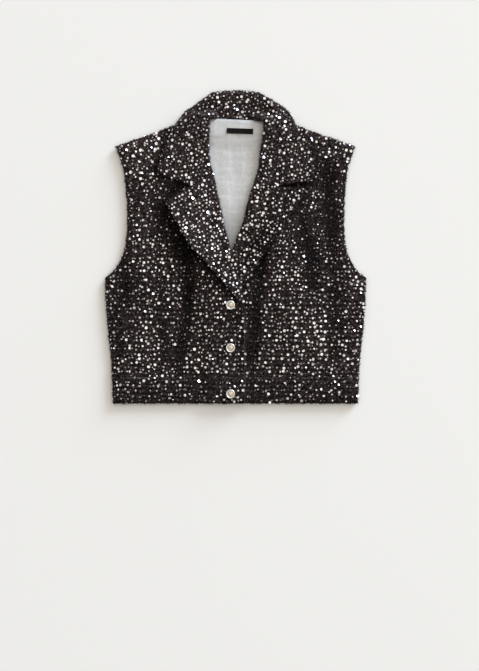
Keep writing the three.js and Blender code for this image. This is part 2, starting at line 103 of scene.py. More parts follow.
def mirrored(points):
    return [(-x, y) for x, y in points]


def shifted(points, dx, dy=0):
    return [(x + dx, y + dy) for x, y in points]


def spline(points, steps=14):
    """The points of a stretch: two give a straight line, more a smooth one."""
    p = np.array(points, float)
    if len(p) == 2:
        return p
    before, after = np.vstack([p[:1], p[:-1]]), np.vstack([p[1:], p[-1:]])
    slope = (after - before) / 2
    t = np.linspace(0, 1, steps + 1)[:-1, None, None]
    a, b, u, v = p[:-1], p[1:], slope[:-1], slope[1:]
    curve = (2 * a - 2 * b + u + v) * t**3 + (-3 * a + 3 * b - 2 * u - v) * t**2 + u * t + a
    return np.vstack([curve.transpose(1, 0, 2).reshape(-1, 2), p[-1:]])


class Outline:
    """A line through stretches of points, read by the share of its length."""

    def __init__(self, *stretches):
        self.points = np.vstack([spline(s) for s in stretches])
        steps = np.hypot(*np.diff(self.points, axis=0).T)
        self.along = np.concatenate([[0], np.cumsum(steps)])
        self.length = self.along[-1]

    def at(self, share):
        d = np.clip(share, 0, 1) * self.length
        return np.stack([np.interp(d, self.along, self.points[:, k]) for k in (0, 1)], -1)


# Outlines, each point as (x, y)
UNDERARM = (HALF_CHEST, -53)
WAIST_CORNER = (210, WAIST_Y)
SIDE_SEAM = [WAIST_CORNER, (211.5, -190), (216, -148), (220, -100), UNDERARM]
ARMHOLE = [UNDERARM, (208, -41), (196, -24), (188.5, -3), (184.8, 25), (184.5, 63)]
ARMHOLE += [(186.5, 98), (190.5, 129), (197, 154), SHOULDER_TIP]
SHOULDER = [SHOULDER_TIP, (170, 183), (135, 195), NECK_POINT]
BREAK_RIGHT = (14.5, -94)
BREAK_LEFT = (-31, -96)
ROLL_RIGHT = [BREAK_RIGHT, (4.5, -56), (-7.5, -8.5), (-19, 37), (-28.5, 82), (-38, 124)]
ROLL_LEFT = [BREAK_LEFT, (-19, -50), (-5.5, -5), (10, 34), (20, 72), (29.8, 104.5)]
ROLL_LEFT += [(37.8, 127)]
LAPEL_RIGHT_EDGE = [(7.5, -92.5), (-12.8, -67), (-35, -43), (-60, -14.5), (-79, 6)]
LAPEL_RIGHT_EDGE += [(-101, 45), (-118, 76.5)]
LAPEL_LEFT_EDGE = [(-24, -98), (12, -66), (35, -31), (49, -8.5), (62, 11), (76, 30)]
LAPEL_LEFT_EDGE += [(101, 66), (119, 98)]
NOTCH_RIGHT = (-75.5, 102)
NOTCH_LEFT = (67, 102)
LEAF_TIP_RIGHT = (-132.5, 125)
LEAF_TIP_LEFT = (129, 113)
NECK_CORNERS = [(-52, -4), (-29, -0.8), (29, -0.8), (52, -4)]
LABEL_X, LABEL_Y, LABEL_TILT = 7.5, 197, -0.035
LABEL_CLOTH = 0.45
LINING_SEAM_Y = 186
FALL_HALF = 102

# Soft troughs pressed into the fronts: x and y of both ends, half width, and depth, less than 0 for a ridge
FOLDS = [
    (-77, 20, -80, -160, 9, 4.0),
    (-80, -145, -97, -214, 9, 2.2),
    (-187, -45, -182, -150, 10, 2.4),
    (-124, -120, -124, -192, 8, 1.6),
    (-150, 50, -150, -190, 15, -1.2),
    (-55, -60, -50, -190, 12, -0.8),
    (46, 12, 39, -110, 9, 4.2),
    (39, -90, 27, -216, 9, 2.8),
    (149, 150, 158, 50, 10, 2.2),
    (156, 85, 173, -80, 10, 3.0),
    (173, -55, 175, -165, 9, 2.0),
    (110, 105, 112, 8, 9, 1.2),
    (130, 8, 141, -84, 8, 2.2),
    (96, -20, 98, -190, 17, -1.2),
]
# Finer creases that only the cloth's surface has, in the same columns
CREASES = [
    (-216, -66, -150, -84, 7, 0.9),
    (-214, -84, -165, -108, 6, 0.8),
    (-205, -20, -172, -52, 6, 0.9),
    (216, -66, 160, -88, 7, 0.9),
    (205, -24, 176, -50, 6, 0.8),
    (-160, 140, -172, 40, 9, 0.9),
    (-120, 60, -132, -60, 9, 0.8),
    (-100, -80, -108, -190, 7, 0.7),
    (-40, -120, -52, -212, 6, 0.7),
    (66, -60, 62, -190, 7, 0.8),
    (120, -90, 128, -205, 7, 0.8),
    (150, -120, 158, -212, 7, 0.8),
    (92, 120, 86, 30, 8, 0.7),
    (-165, -130, -170, -212, 7, 0.7),
    (-205, -150, -190, -214, 7, 0.7),
]
# Painted shade and light on the fronts: x and y of both ends, half width, and the share of the colour that
# the shade takes, below 0 for painted light
PAINTED_SHADES = [
    (-137, 104, -72, -46, 19, 0.95),
    (-104, 36, 20, -108, 10, 0.75),
    (-84, 24, -79, -110, 9, 0.7),
    (-79, -60, -90, -180, 9, 0.75),
    (-86, -130, -104, -228, 8, 0.6),
    (-124, -30, -123, -215, 8, 0.4),
    (-188, 0, -184, -110, 12, 0.6),
    (-202, -70, -196, -210, 12, 0.35),
    (9, -80, 11, -230, 6, 0.4),
    (62, 22, 34, -50, 11, 0.8),
    (41, -4, 31, -130, 10, 0.8),
    (34, -90, 24, -230, 10, 0.6),
    (30, 100, 146, 111, 5, 0.75),
    (92, 128, 128, 108, 9, 0.6),
    (-158, 142, -62, 98, 7, 0.9),
    (-70, 116, -122, 88, 9, 0.9),
    (-108, 222, -140, 116, 6, 0.6),
    (160, 172, 184, -10, 14, 0.45),
    (150, 150, 166, -60, 8, 0.35),
    (166, -20, 169, -220, 9, 0.65),
    (116, 50, 140, -110, 10, 0.6),
    (122, 84, 150, -60, 36, 0.16),
    (100, 110, 124, 0, 9, 0.35),
    (-154, 50, -150, -70, 16, -0.25),
    (-150, -110, -148, -216, 14, -0.25),
    (78, 76, 82, -20, 16, -0.2),
    (50, -50, 110, -62, 15, -0.25),
    (140, -100, 138, -216, 15, -0.3),
    (180, 168, 70, 204, 18, -0.15),
    (104, 184, 176, 88, 34, 0.28),
    (-222, 120, -90, 206, 34, -0.36),
    (60, -120, 190, -170, 50, -0.14),
]
# The same painted shade and light on the lapels
PAINTED_LAPEL_SHADES = [
    (120, 120, 10, -50, 26, 0.4),
    (84, 60, -24, -90, 16, 0.3),
    (-60, 20, -36, 120, 14, -0.12),
]
# Soft creases of the lining, as for the cloth
LINING_CREASES = [
    (-38, 190, -26, 70, 4, 0.35),
    (-16, 205, -14, 40, 6, -0.4),
    (-2, 180, 2, 20, 4, 0.35),
    (14, 200, 12, 60, 5, -0.35),
    (44, 200, 28, 80, 6, 0.5),
    (-60, 168, 60, 160, 2.2, 0.25),
    (-60, 122, 60, 126, 2.2, 0.25),
    (-60, 92, 60, 88, 2.0, 0.2),
    (-60, 60, 60, 63, 2.0, 0.2),
    (-60, 36, 60, 34, 2.0, 0.2),
]
# Dart seams, as the line of their stitching
DARTS = {
    "right": [(-77, 18), (-78.5, -60), (-80.5, -140), (-88, -180), (-97, WAIST_Y)],
    "left": [(46, 10), (42, -60), (38, -112), (32, -165), (26, WAIST_Y)],
}


def troughs(rows, x, y):
    total = np.zeros_like(x)
    for x1, y1, x2, y2, half, depth in rows:
        dx, dy = x2 - x1, y2 - y1
        length = math.hypot(dx, dy)
        share = ((x - x1) * dx + (y - y1) * dy) / length**2
        off = ((x - x1) * dy - (y - y1) * dx) / length
        ends = smooth(share / 0.3) * smooth((1 - share) / 0.3)
        total += depth * ends * np.exp(-((off / half) ** 2))
    return total


def off_line(line, x, y):
    """Distance from a line of points."""
    nearest = np.full(x.shape, 1e9)
    for a, b in zip(line[:-1], line[1:]):
        dx, dy = b - a
        square = dx * dx + dy * dy
        if square < 1e-9:
            continue
        share = np.clip(((x - a[0]) * dx + (y - a[1]) * dy) / square, 0, 1)
        nearest = np.minimum(nearest, np.hypot(x - a[0] - dx * share, y - a[1] - dy * share))
    return nearest


BODY_EDGE = np.vstack(
    [[(HALF_HEM, HEM_Y)], spline(SIDE_SEAM, 5), spline(ARMHOLE, 5)[1:], spline(SHOULDER, 5)[1:]]
)


def from_edge(x, y):
    return np.maximum(np.minimum(y - HEM_Y, off_line(BODY_EDGE, np.abs(x), y)), 0)


# Levels of the layers, from the surface up
def fall_edge_y(x):
    return 196 + 13 * np.minimum(np.abs(x) / FALL_HALF, 1) ** 2


def lift(x, y):
    rise = smooth((y - fall_edge_y(x) + 30) / 26) * smooth((147 - np.abs(x)) / 37)
    return (FALL_CLOTH + SEAM) * rise


def back_top(x, y):
    return lift(x, y) + CLOTH


def lining_top(x, y):
    return back_top(x, y) + SEAM + LINING


def front_base(x, y):
    inset = from_edge(x, y)
    placket = smooth((np.abs(x - BUTTON_X) - 14) / 26) * 0.75 + 0.25
    loft = LOFT * (1 - np.exp(-inset / 26)) * placket
    loft = loft - troughs(FOLDS, x, y) * smooth(inset / 14)
    eased = (loft + np.sqrt(loft * loft + 0.6)) / 2
    return lining_top(x, y) + SEAM + eased * smooth(inset / 10)


def left_edge_x(y):
    xs, ys = np.array(ROLL_LEFT, float).T
    return np.where(y <= BREAK_LEFT[1], LEFT_EDGE_X, np.interp(y, ys, xs))


def lap_steps(x, y):
    over = smooth((x - left_edge_x(y) + LAP_RAMP) / (LAP_RAMP - 3))
    over = over * smooth((70 - y) / 50)
    second = smooth((y - BREAK_LEFT[1] + LAP_RAMP) / (LAP_RAMP - 4))
    return over * LAP_STEP * (1 + second)


def right_base(x, y):
    return front_base(x, y) + lap_steps(x, y)


RISE_RIGHT = [(0, 0.4), (0.22, 5), (0.45, 13), (0.62, 17), (0.82, 11), (1, 3.5)]
RISE_LEFT = [(0, 0), (0.3, 1.2), (0.55, 4.5), (0.8, 3.5), (1, 1)]


def rise_at(table, share):
    shares, rises = np.array(table, float).T
    i = np.clip(np.searchsorted(shares, share), 1, len(shares) - 1)
    part = (share - shares[i - 1]) / (shares[i] - shares[i - 1])
    return mix(rises[i - 1], rises[i], smooth(part))


def neck_y(x):
    return NECK_SEAM_Y + NECK_SEAM_TILT * x


def body_top_y(x):
    slope = (NECK_POINT[1] - SHOULDER_TIP[1]) / (SHOULDER_TIP[0] - NECK_POINT[0])
    shoulder = SHOULDER_TIP[1] + (SHOULDER_TIP[0] - np.abs(x)) * slope + 1
    return np.minimum(neck_y(x), shoulder)


def leafness(x, y):
    return smooth((np.abs(x) - 27) / 17) * smooth((body_top_y(x) + 17 - y) / 15)


# The weave's own relief
PITCH = 7.8
PRESSED_GRID = 11.7  # the cloth's grid that shows through the lining


class Tufts:
    """Smooth noise from -1 to 1 over the plane, always the same for a seed."""

    def __init__(self, seed, side=257):
        self.side = side
        self.table = np.random.default_rng(seed).uniform(-1, 1, (side, side))

    def at(self, x, y, size):
        u, v = x / size + 1000.5, y / size + 1000.5
        i, j = np.floor(u).astype(int), np.floor(v).astype(int)
        a, b = smooth(u - i), smooth(v - j)
        t, n = self.table, self.side
        low = mix(t[i % n, j % n], t[(i + 1) % n, j % n], a)
        high = mix(t[i % n, (j + 1) % n], t[(i + 1) % n, (j + 1) % n], a)
        return mix(low, high, b)


NOISE = Tufts(11)
NOISE_2 = Tufts(12)


def row_wave(x, y, pitch):
    """1 on the middle of each weft row and -1 between two rows."""
    wobble = 1.5 * NOISE.at(x, y, 34) + 0.7 * NOISE_2.at(x, y, 11)
    return np.cos(2 * math.pi * (y - WAIST_Y + wobble) / pitch)


def row_strength(y):
    """The rows show most on the lower body and on the waistband."""
    return 0.3 + 0.7 * smooth((70 - y) / 130)


def boucle(x, y, height, pitch, rows):
    """Relief of the cloth, at most about height, and mostly below nothing."""
    tuft = 0.55 * NOISE.at(x, y, 4.6) + 0.45 * NOISE_2.at(x, y, 2.7)
    wave = row_wave(x, y, pitch) * row_strength(y) * rows
    return height * (0.6 * tuft + 0.3 * wave - 0.3)


def ragged(x, y):
    """How far the yarns push a cloth's edge to and fro, as the same shift for every piece."""
    return 0.8 * NOISE.at(x + 900, y, 5.2), 0.8 * NOISE_2.at(x, y + 900, 5.2)


# Cloth walls as grids of upper and lower points. Walls that hardly show have larger cells than the others
BACK_CELL = 3.8
FALL_CELL = 3
STAND_CELL = 4


def graded(lengths, cells, reach=EDGE, lines=4):
    """Shares of each length, evenly spaced between closer lines near both ends."""
    lengths = np.atleast_1d(np.asarray(lengths, float))[:, None]
    near = np.minimum(reach, 0.3 * lengths) / lengths
    low = near * (1 - np.cos(np.linspace(0, math.pi / 2, lines + 1)))[:-1]
    middle = near + (1 - 2 * near) * np.linspace(0, 1, cells + 1)
    return np.hstack([low, middle, 1 - low[:, ::-1]])


def spanned(sides, s, t):
    """Points of the surface that four outlines span."""
    corner = {(k, e): sides[k].at(np.array(e)) for k in ("left", "right") for e in (0, 1)}
    s3, t3 = s[..., None], t[..., None]
    ruled = (1 - t3) * sides["left"].at(s) + t3 * sides["right"].at(s)
    crossed = (1 - s3) * sides["bottom"].at(t) + s3 * sides["top"].at(t)
    flat = (1 - s3) * ((1 - t3) * corner["left", 0] + t3 * corner["right", 0])
    flat = flat + s3 * ((1 - t3) * corner["left", 1] + t3 * corner["right", 1])
    return ruled + crossed - flat


def apart(a, b):
    return np.hypot(a[..., 0] - b[..., 0], a[..., 1] - b[..., 1])


def wall(sides, cell, heights, edges, worn=0.5, relief=None, under_relief=None):
    """Upper and lower points of one wall of cloth. edges gives how far each side's rounding reaches in, worn
    the share of it that the upper face loses, and relief the height of the weave over the plain face."""
    count = max(3, round(sides["left"].length / cell))
    rows = graded([sides["left"].length], count)[0]
    half = np.full(rows.shape, 0.5)
    middle = spanned(sides, rows, half)
    widths = apart(spanned(sides, rows, half * 0), middle) + apart(middle, spanned(sides, rows, half * 2))
    t = graded(widths, max(3, round(widths.max() / cell)))
    s = np.broadcast_to(rows[:, None], t.shape)
    p = spanned(sides, s, t)
    off = {
        "left": apart(p, spanned(sides, s, t * 0)),
        "right": apart(p, spanned(sides, s, t * 0 + 1)),
        "bottom": apart(p, spanned(sides, s * 0, t)),
        "top": apart(p, spanned(sides, s * 0 + 1, t)),
    }
    x, y = p[..., 0], p[..., 1]
    base, top = heights(x, y, off, s)
    pinch = np.zeros_like(x)
    for side, reach in edges.items():
        near = 1 - np.minimum(off[side] / reach, 1)
        pinch = np.maximum(pinch, 1 - np.sqrt(1 - near**2))
    taken = (top - base) * pinch * (1 - EDGE_FLAT)
    top, base = top - taken * worn, base + taken * (1 - worn)
    if relief is not None:
        top = top + relief(x, y) * (1 - 0.6 * pinch)
    if under_relief is not None:
        base = base - under_relief(x, y) * (1 - pinch)
    dx, dy = ragged(x, y)
    upper = np.stack([x + dx, y + dy, np.maximum(top, base + 0.4)], -1)
    lower = np.stack([x + dx, y + dy, base], -1)
    return upper, lower


def grid_faces(n, m, start=0, flip=False):
    i, j = np.meshgrid(np.arange(n - 1), np.arange(m - 1), indexing="ij")
    a = (start + i * m + j).ravel()
    quads = np.stack([a, a + 1, a + m + 1, a + m], -1)
    return quads[:, ::-1] if flip else quads


def wall_faces(n, m, start=0):
    """Quads of a closed wall: upper grid, lower grid and the four sides."""
    lower = start + n * m
    across, up = np.arange(m), np.arange(n)
    rim = np.concatenate([across, m * up[1:] + m - 1, (n - 1) * m + across[-2::-1], m * up[-2:0:-1]])
    after = np.roll(rim, -1)
    side = np.stack([start + rim, lower + rim, lower + after, start + after], -1)
    return np.vstack([grid_faces(n, m, start), grid_faces(n, m, lower, flip=True), side])


def new_mesh(name, points, faces, smooth_faces=True):
    """A mesh in metres from points in millimetres and faces of three or four corners."""
    mesh = bpy.data.meshes.new(name)
    faces = np.asarray(faces)
    mesh.vertices.add(len(points))
    mesh.vertices.foreach_set("co", (np.asarray(points) * MM).astype(np.float32).ravel())
    mesh.loops.add(faces.size)
    mesh.loops.foreach_set("vertex_index", faces.astype(np.int32).ravel())
    mesh.polygons.add(len(faces))
    corners = faces.shape[1]
    starts = np.arange(0, faces.size, corners, dtype=np.int32)
    mesh.polygons.foreach_set("loop_start", starts)
    mesh.update(calc_edges=True)
    mesh.validate()
    mesh.polygons.foreach_set("use_smooth", [smooth_faces] * len(mesh.polygons))
    return mesh


def placed(name, data):
    """A new object in the scene."""
    item = bpy.data.objects.new(name, data)
    bpy.context.scene.collection.objects.link(item)
    return item


def new_piece(name, mesh, finish, replaced=()):
    piece = placed(name, mesh)
    if finish is not None:
        mesh.materials.append(finish)
    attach(piece, BODY)
    if replaced:
        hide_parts(*replaced)
    return piece


def cloth_mesh(name, walls, tone=None):
    """Joins walls into one mesh, and gives each point the share of its colour that its tone leaves it, which
    on most pieces holds painted shade and light.
    """
    points, faces = [], []
    start = 0
    for upper, lower in walls:
        n, m = upper.shape[:2]
        turned = np.cross(upper[0, -1] - upper[0, 0], upper[-1, 0] - upper[0, 0])[2] < 0
        quads = wall_faces(n, m, start)
        faces.append(quads[:, ::-1] if turned else quads)
        points += [upper.reshape(-1, 3), lower.reshape(-1, 3)]
        start += 2 * n * m
    points = np.vstack(points)
    mesh = new_mesh(name, points, np.vstack(faces))
    x, y = points[:, 0], points[:, 1]
    values = np.ones(len(points)) if tone is None else tone(x, y)
    attribute = mesh.attributes.new("tone", "FLOAT", "POINT")
    attribute.data.foreach_set("value", values.astype(np.float32))
    return mesh


def inside(polygon, x, y):
    """Whether each point lies inside a closed line."""
    found = np.zeros(x.shape, bool)
    line = np.vstack([polygon, polygon[:1]])
    for (x1, y1), (x2, y2) in zip(line[:-1], line[1:]):
        if y1 == y2:
            continue
        crosses = (y1 > y) != (y2 > y)
        found ^= crosses & (x < (x2 - x1) * (y - y1) / (y2 - y1) + x1)
    return found


def over_cloth(upper, covers=(), from_below=False):
    """Gives a function that drops points onto a cloth, and leaves out those that other cloth covers."""
    n, m = upper.shape[:2]
    tree = BVHTree.FromPolygons(upper.reshape(-1, 3).tolist(), grid_faces(n, m).tolist())
    way = 1 if from_below else -1

    def drop(x, y):
        keep = np.ones(x.shape, bool)
        for cover in covers:
            keep &= ~inside(cover, x, y)
        places, normals = [], []
        for px, py in zip(x[keep].tolist(), y[keep].tolist()):
            place, normal, _, _ = tree.ray_cast(Vector((px, py, -100 * way)), Vector((0, 0, way)))
            if place is None or abs(normal.z) < 0.3:
                continue
            places.append(place[:])
            normals.append((normal if normal.z * way < 0 else -normal)[:])
        return np.array(places).reshape(-1, 3), np.array(normals).reshape(-1, 3)

    return drop


def in_rows(box, pitch, spacing, rng):
    """Points on the weft rows. They line up in columns, and get wilder towards the shoulders."""
    x1, y1, x2, y2 = box
    rows = np.arange(math.floor((y1 - WAIST_Y) / pitch) - 1, math.ceil((y2 - WAIST_Y) / pitch) + 2)
    columns = np.arange(x1 - 2, x2 + 2, spacing)
    row, x = [a.ravel() for a in np.meshgrid(rows, columns, indexing="ij")]
    count = len(x)
    shift = rng.normal(0, 0.9, len(rows))[(row - rows[0]).astype(int)]
    y = WAIST_Y + row * pitch
    y = y - 1.5 * NOISE.at(x, y, 34) - 0.7 * NOISE_2.at(x, y, 11)
    wild = smooth((y - 0) / 130)
    x = x + shift + rng.normal(0, 1, count) * (1.5 + 0.9 * wild)
    y = y + rng.choice([-1.7, 0.0, 1.5], count) + rng.normal(0, 1, count) * (0.5 + 1.9 * wild)
    return x, y


def spread_out(x, y, least):
    """Whether each point keeps at least a distance from all the earlier ones."""
    tree = KDTree(len(x))
    for k, (px, py) in enumerate(zip(x.tolist(), y.tolist())):
        tree.insert((px, py, 0), k)
    tree.balance()
    kept = np.ones(len(x), bool)
    for k, (px, py) in enumerate(zip(x.tolist(), y.tolist())):
        near = tree.find_range((px, py, 0), least)
        kept[k] = not any(other < k and kept[other] for _, other, _ in near)
    return kept


def turned_lattice(box, pitch, spacing, degrees, rng):
    """Points on a lattice that lies at an angle, each a little off its place."""
    x1, y1, x2, y2 = box
    reach = math.hypot(x2 - x1, y2 - y1) / 2 + 5
    u, v = np.meshgrid(np.arange(-reach, reach, spacing), np.arange(-reach, reach, pitch))
    u = (u + (np.arange(len(u)) % 2)[:, None] * spacing / 2).ravel()
    v = v.ravel()
    u = u + rng.normal(0, 1.35, u.shape)
    v = v + rng.normal(0, 1.35, v.shape)
    c, s = math.cos(math.radians(degrees)), math.sin(math.radians(degrees))
    return (x1 + x2) / 2 + u * c - v * s, (y1 + y2) / 2 + u * s + v * c


def facing(directions):
    """Turns that point a form's Z axis along each direction."""
    d = directions / np.linalg.norm(directions, axis=1, keepdims=True)
    return np.stack([0 * d[:, 0], np.arccos(np.clip(d[:, 2], -1, 1)), np.arctan2(d[:, 1], d[:, 0])], -1)


def painted_shade_share(rows, x, y):
    """The share of the colour that the painted shade takes, below 0 where light is painted."""
    return np.clip(troughs(rows, x, y), -0.4, 0.85)


def fold_depth(x, y):
    """From 0 on open cloth to 1 at the bottom of the deeper troughs."""
    deep = [row for row in FOLDS if row[5] > 1]
    return np.clip(troughs(deep, x, y) / 3.4, 0, 1)


def under_edges(lines, reach):
    """From 0 on open cloth to 1 right beside a cloth that lies on it."""

    def near(x, y):
        total = np.zeros_like(x)
        for line in lines:
            total += np.exp(-off_line(line, x, y) / reach)
        return np.clip(total, 0, 1)

    return near


def rows_tone(x, y):
    return 1.08 - 0.58 * (0.5 - 0.5 * row_wave(x, y, PITCH)) ** 2 * row_strength(y)


def band_tone(x, y):
    """Darker than the fronts, but for a painted highlight along its top edge, where it catches the light."""
    return 0.85 * rows_tone(x, y) + 0.9 * np.exp(-(((WAIST_Y - 1.8 - y) / 1.3) ** 2))


def lining_tone(x, y):
    """Painted shade: darker down in the point of the neck, below the collar along its seam, and next to the
    rolls, where their shadows fall.
    """
    at_seam = smooth((y - neck_y(x) + 3.2) / 1.6) * smooth((55 - np.abs(x)) / 10)
    inward = 0.13 * (214 - y)
    at_left_roll = smooth((x - 39 + inward) / 10) * smooth((y - 125) / 50)
    at_right_roll = smooth((-x - 38 + inward) / 8)
    shaded = 0.48 * smooth((90 - y) / 80) + 0.06 * smooth((y - 110) / 70)
    return 1 - shaded - 0.34 * at_seam - 0.24 * at_left_roll - 0.1 * at_right_roll


def front_tone(beside):
    """Darker between the rows, with painted shade in the folds and shade bands, painted shadow beside the
    lapels and collar, and painted light on the ridges.
    """

    def tone(x, y):
        value = rows_tone(x, y) * (1 - 0.4 * fold_depth(x, y)) * (1 - painted_shade_share(PAINTED_SHADES, x, y))
        return value * (1 - 0.8 * beside(x, y))

    return tone


# Finishes
def new_finish(name, colour, roughness, metallic=0.0):
    material = bpy.data.materials.new(name)
    material.use_nodes = True
    material.diffuse_color = (*colour, 1)
    shader = material.node_tree.nodes["Principled BSDF"]
    fill(shader, {"Base Color": (*colour, 1), "Roughness": roughness, "Metallic": metallic})
    return material, shader


def fill(node, values):
    """Sets a node's inputs, by name or number."""
    for entry, value in values.items():
        node.inputs[entry].default_value = value


def add_node(material, kind, settings=None, values=None):
    node = material.node_tree.nodes.new(kind)
    for key, value in (settings or {}).items():
        setattr(node, key, value)
    fill(node, values or {})
    return node


def wire(tree, *rows):
    """Joins nodes. Each row is a node, its output, the next node and its input."""
    for giver, output, taker, entry in rows:
        tree.links.new(giver.outputs[output], taker.inputs[entry])


def ramp(material, stops):
    node = add_node(material, "ShaderNodeValToRGB")
    band = node.color_ramp
    while len(band.elements) < len(stops):
        band.elements.new(0.5)
    for element, (place, colour) in zip(band.elements, stops):
        element.position = place
        element.color = (*colour, 1)
    return node


def texture(material, kind, settings=None, **values):
    """A texture on the object's own coordinates."""
    place = add_node(material, "ShaderNodeTexCoord")
    node = add_node(material, kind, settings, values)
    wire(material.node_tree, (place, "Object", node, "Vector"))
    return node


def bumped(material, shader, source, output, strength, distance):
    """Raises the surface by what a texture says."""
    bump = add_node(material, "ShaderNodeBump", None, {"Strength": strength, "Distance": distance})
    wire(material.node_tree, (source, output, bump, "Height"), (bump, "Normal", shader, "Normal"))


def toned(material, shader, source, output):
    """Gives the shader a colour, less what the tone of each point takes from it, which holds painted shade
    and light.
    """
    tone = add_node(material, "ShaderNodeAttribute", {"attribute_name": "tone"})
    dimmed = add_node(material, "ShaderNodeVectorMath", {"operation": "SCALE"})
    wire(
        material.node_tree,
        (source, output, dimmed, 0),
        (tone, "Fac", dimmed, "Scale"),
        (dimmed, "Vector", shader, "Base Color"),
    )


def tweed_finish(cloth):
    """Black boucle: dark tufts with paler ones between them, darker between the weft rows, and a matt nap."""
    dark, pale = np.array(cloth.dark), np.array(cloth.pale)
    material, shader = new_finish("black_boucle", tuple(dark), 0.95)
    fill(shader, {"Sheen Weight": 0.04, "Sheen Roughness": 0.6, "Sheen Tint": (0.8, 0.7, 0.72, 1)})
    fill(shader, {"Specular IOR Level": 0.05})
    fibre = texture(material, "ShaderNodeTexNoise", Scale=800, Detail=3, Roughness=0.7)
    tuft = texture(material, "ShaderNodeTexNoise", Scale=280, Detail=1, Roughness=0.5, Distortion=0.6)
    blend = add_node(material, "ShaderNodeMix", {"data_type": "FLOAT"}, {"Factor": 0.6})
    colours = ramp(material, [(0.46, tuple(dark)), (0.55, tuple(mix(dark, pale, 0.38))), (0.66, tuple(pale))])
    wire(
        material.node_tree,
        (fibre, "Fac", blend, "A"),
        (tuft, "Fac", blend, "B"),
        (blend, "Result", colours, "Fac"),
    )
    toned(material, shader, colours, "Color")
    bumped(material, shader, blend, "Result", 1.0, 0.0012)
    return material


def shaded_finish(name, low, high, roughness, metallic=0.0):
    """A finish that colours each scattered copy by its own shade, from low to high."""
    material, shader = new_finish(name, tuple(high if metallic else low), roughness, metallic)
    own = add_node(material, "ShaderNodeAttribute", {"attribute_name": "shade"})
    colours = ramp(material, [(0.0, tuple(low)), (1.0, tuple(high))])
    wire(material.node_tree, (own, "Fac", colours, "Fac"), (colours, "Color", shader, "Base Color"))
    return material, shader


def sequin_finish(sequins):
    return shaded_finish("silver_sequin", sequins.dull, sequins.bright, 0.28, 1.0)[0]


def yarn_finish(cloth):
    material, shader = shaded_finish("boucle_loop", cloth.dark, cloth.loop, 0.95)
    fill(shader, {"Sheen Weight": 0.08, "Specular IOR Level": 0.05})
    return material


def lining_finish(lining):
    """Pale satin with a fine weave, slubs, and paler lines of painted highlight where the cloth's grid is
    pressed through.
    """
    colour = np.array(lining.shade)
    material, shader = new_finish("grey_lining", tuple(colour), 0.5)
    fill(shader, {"Sheen Weight": 0.1})
    slub = texture(material, "ShaderNodeTexNoise", Scale=170, Detail=4, Roughness=0.65)
    tones = ramp(material, [(0.25, tuple(0.88 * colour)), (0.75, tuple(1.1 * colour))])
    both = add_node(material, "ShaderNodeMath", {"operation": "MAXIMUM"})
    for k, (direction, size) in enumerate((("X", 13.5), ("Y", 12.8))):
        line = texture(material, "ShaderNodeTexWave", {"bands_direction": direction}, Scale=size, Detail=3)
        fill(line, {"Distortion": 4.5, "Detail Scale": 1.1})
        thin = ramp(material, [(0.0, (0, 0, 0)), (0.94, (0, 0, 0)), (1.0, (0.26, 0.26, 0.26))])
        wire(material.node_tree, (line, "Fac", thin, "Fac"), (thin, "Color", both, k))
    pale = (*np.minimum(1.3 * colour, 1), 1)
    lit = add_node(material, "ShaderNodeMix", {"data_type": "RGBA"}, {"B": pale})
    wire(
        material.node_tree,
        (slub, "Fac", tones, "Fac"),
        (both, "Value", lit, "Factor"),
        (tones, "Color", lit, "A"),
    )
    toned(material, shader, lit, "Result")
    bumped(material, shader, slub, "Fac", 0.35, 0.0006)
    return material


def label_finish():
    """Black woven satin with fine ribs."""
    material, shader = new_finish("label_satin", (0.009, 0.006, 0.006), 0.7)
    fill(shader, {"Specular IOR Level": 0.08})
    ribs = texture(material, "ShaderNodeTexWave", {"bands_direction": "Y"}, Scale=500, Distortion=0.3)
    bumped(material, shader, ribs, "Fac", 0.5, 0.0002)
    return material


def thread_finish(name, colour):
    material, shader = new_finish(name, colour, 0.7)
    ply = texture(material, "ShaderNodeTexNoise", Scale=2500, Detail=1)
    bumped(material, shader, ply, "Fac", 0.5, 0.0001)
    return material


def brushed_finish(name, colour, roughness, metallic, strength, scale):
    """Metal with fine wear, duller and brighter by places."""
    material, shader = new_finish(name, tuple(colour), roughness, metallic)
    wear = texture(material, "ShaderNodeTexNoise", Scale=scale, Detail=4, Roughness=0.6)
    spread = {"To Min": roughness * 0.8, "To Max": roughness * 1.4}
    limits = add_node(material, "ShaderNodeMapRange", None, spread)
    wire(material.node_tree, (wear, "Fac", limits, "Value"), (limits, "Result", shader, "Roughness"))
    bumped(material, shader, wear, "Fac", strength, 0.0001)
    return material


# Geometry Nodes
def copying_tree(name, source, number, value):
    """A tree that sets copies of a form on points, makes them one mesh and gives it its finish. Its number is
    the one value that it needs. Returns the tree, its entry and the node that takes the points."""
    tree = bpy.data.node_groups.new(name, "GeometryNodeTree")
    tree.interface.new_socket("Geometry", in_out="OUTPUT", socket_type="NodeSocketGeometry")
    for label, kind in ((source, "Geometry"), ("Form", "Object"), ("Finish", "Material"), (number, "Float")):
        socket = tree.interface.new_socket(label, in_out="INPUT", socket_type="NodeSocket" + kind)
    socket.default_value = value
    node = tree.nodes.new
    enter, leave = node("NodeGroupInput"), node("NodeGroupOutput")
    form, place = node("GeometryNodeObjectInfo"), node("GeometryNodeInstanceOnPoints")
    real, finish = node("GeometryNodeRealizeInstances"), node("GeometryNodeSetMaterial")
    wire(
        tree,
        (enter, "Form", form, "Object"),
        (form, "Geometry", place, "Instance"),
        (place, "Instances", real, "Geometry"),
        (real, "Geometry", finish, "Geometry"),
        (enter, "Finish", finish, "Material"),
        (finish, "Geometry", leave, "Geometry"),
    )
    return tree, enter, place


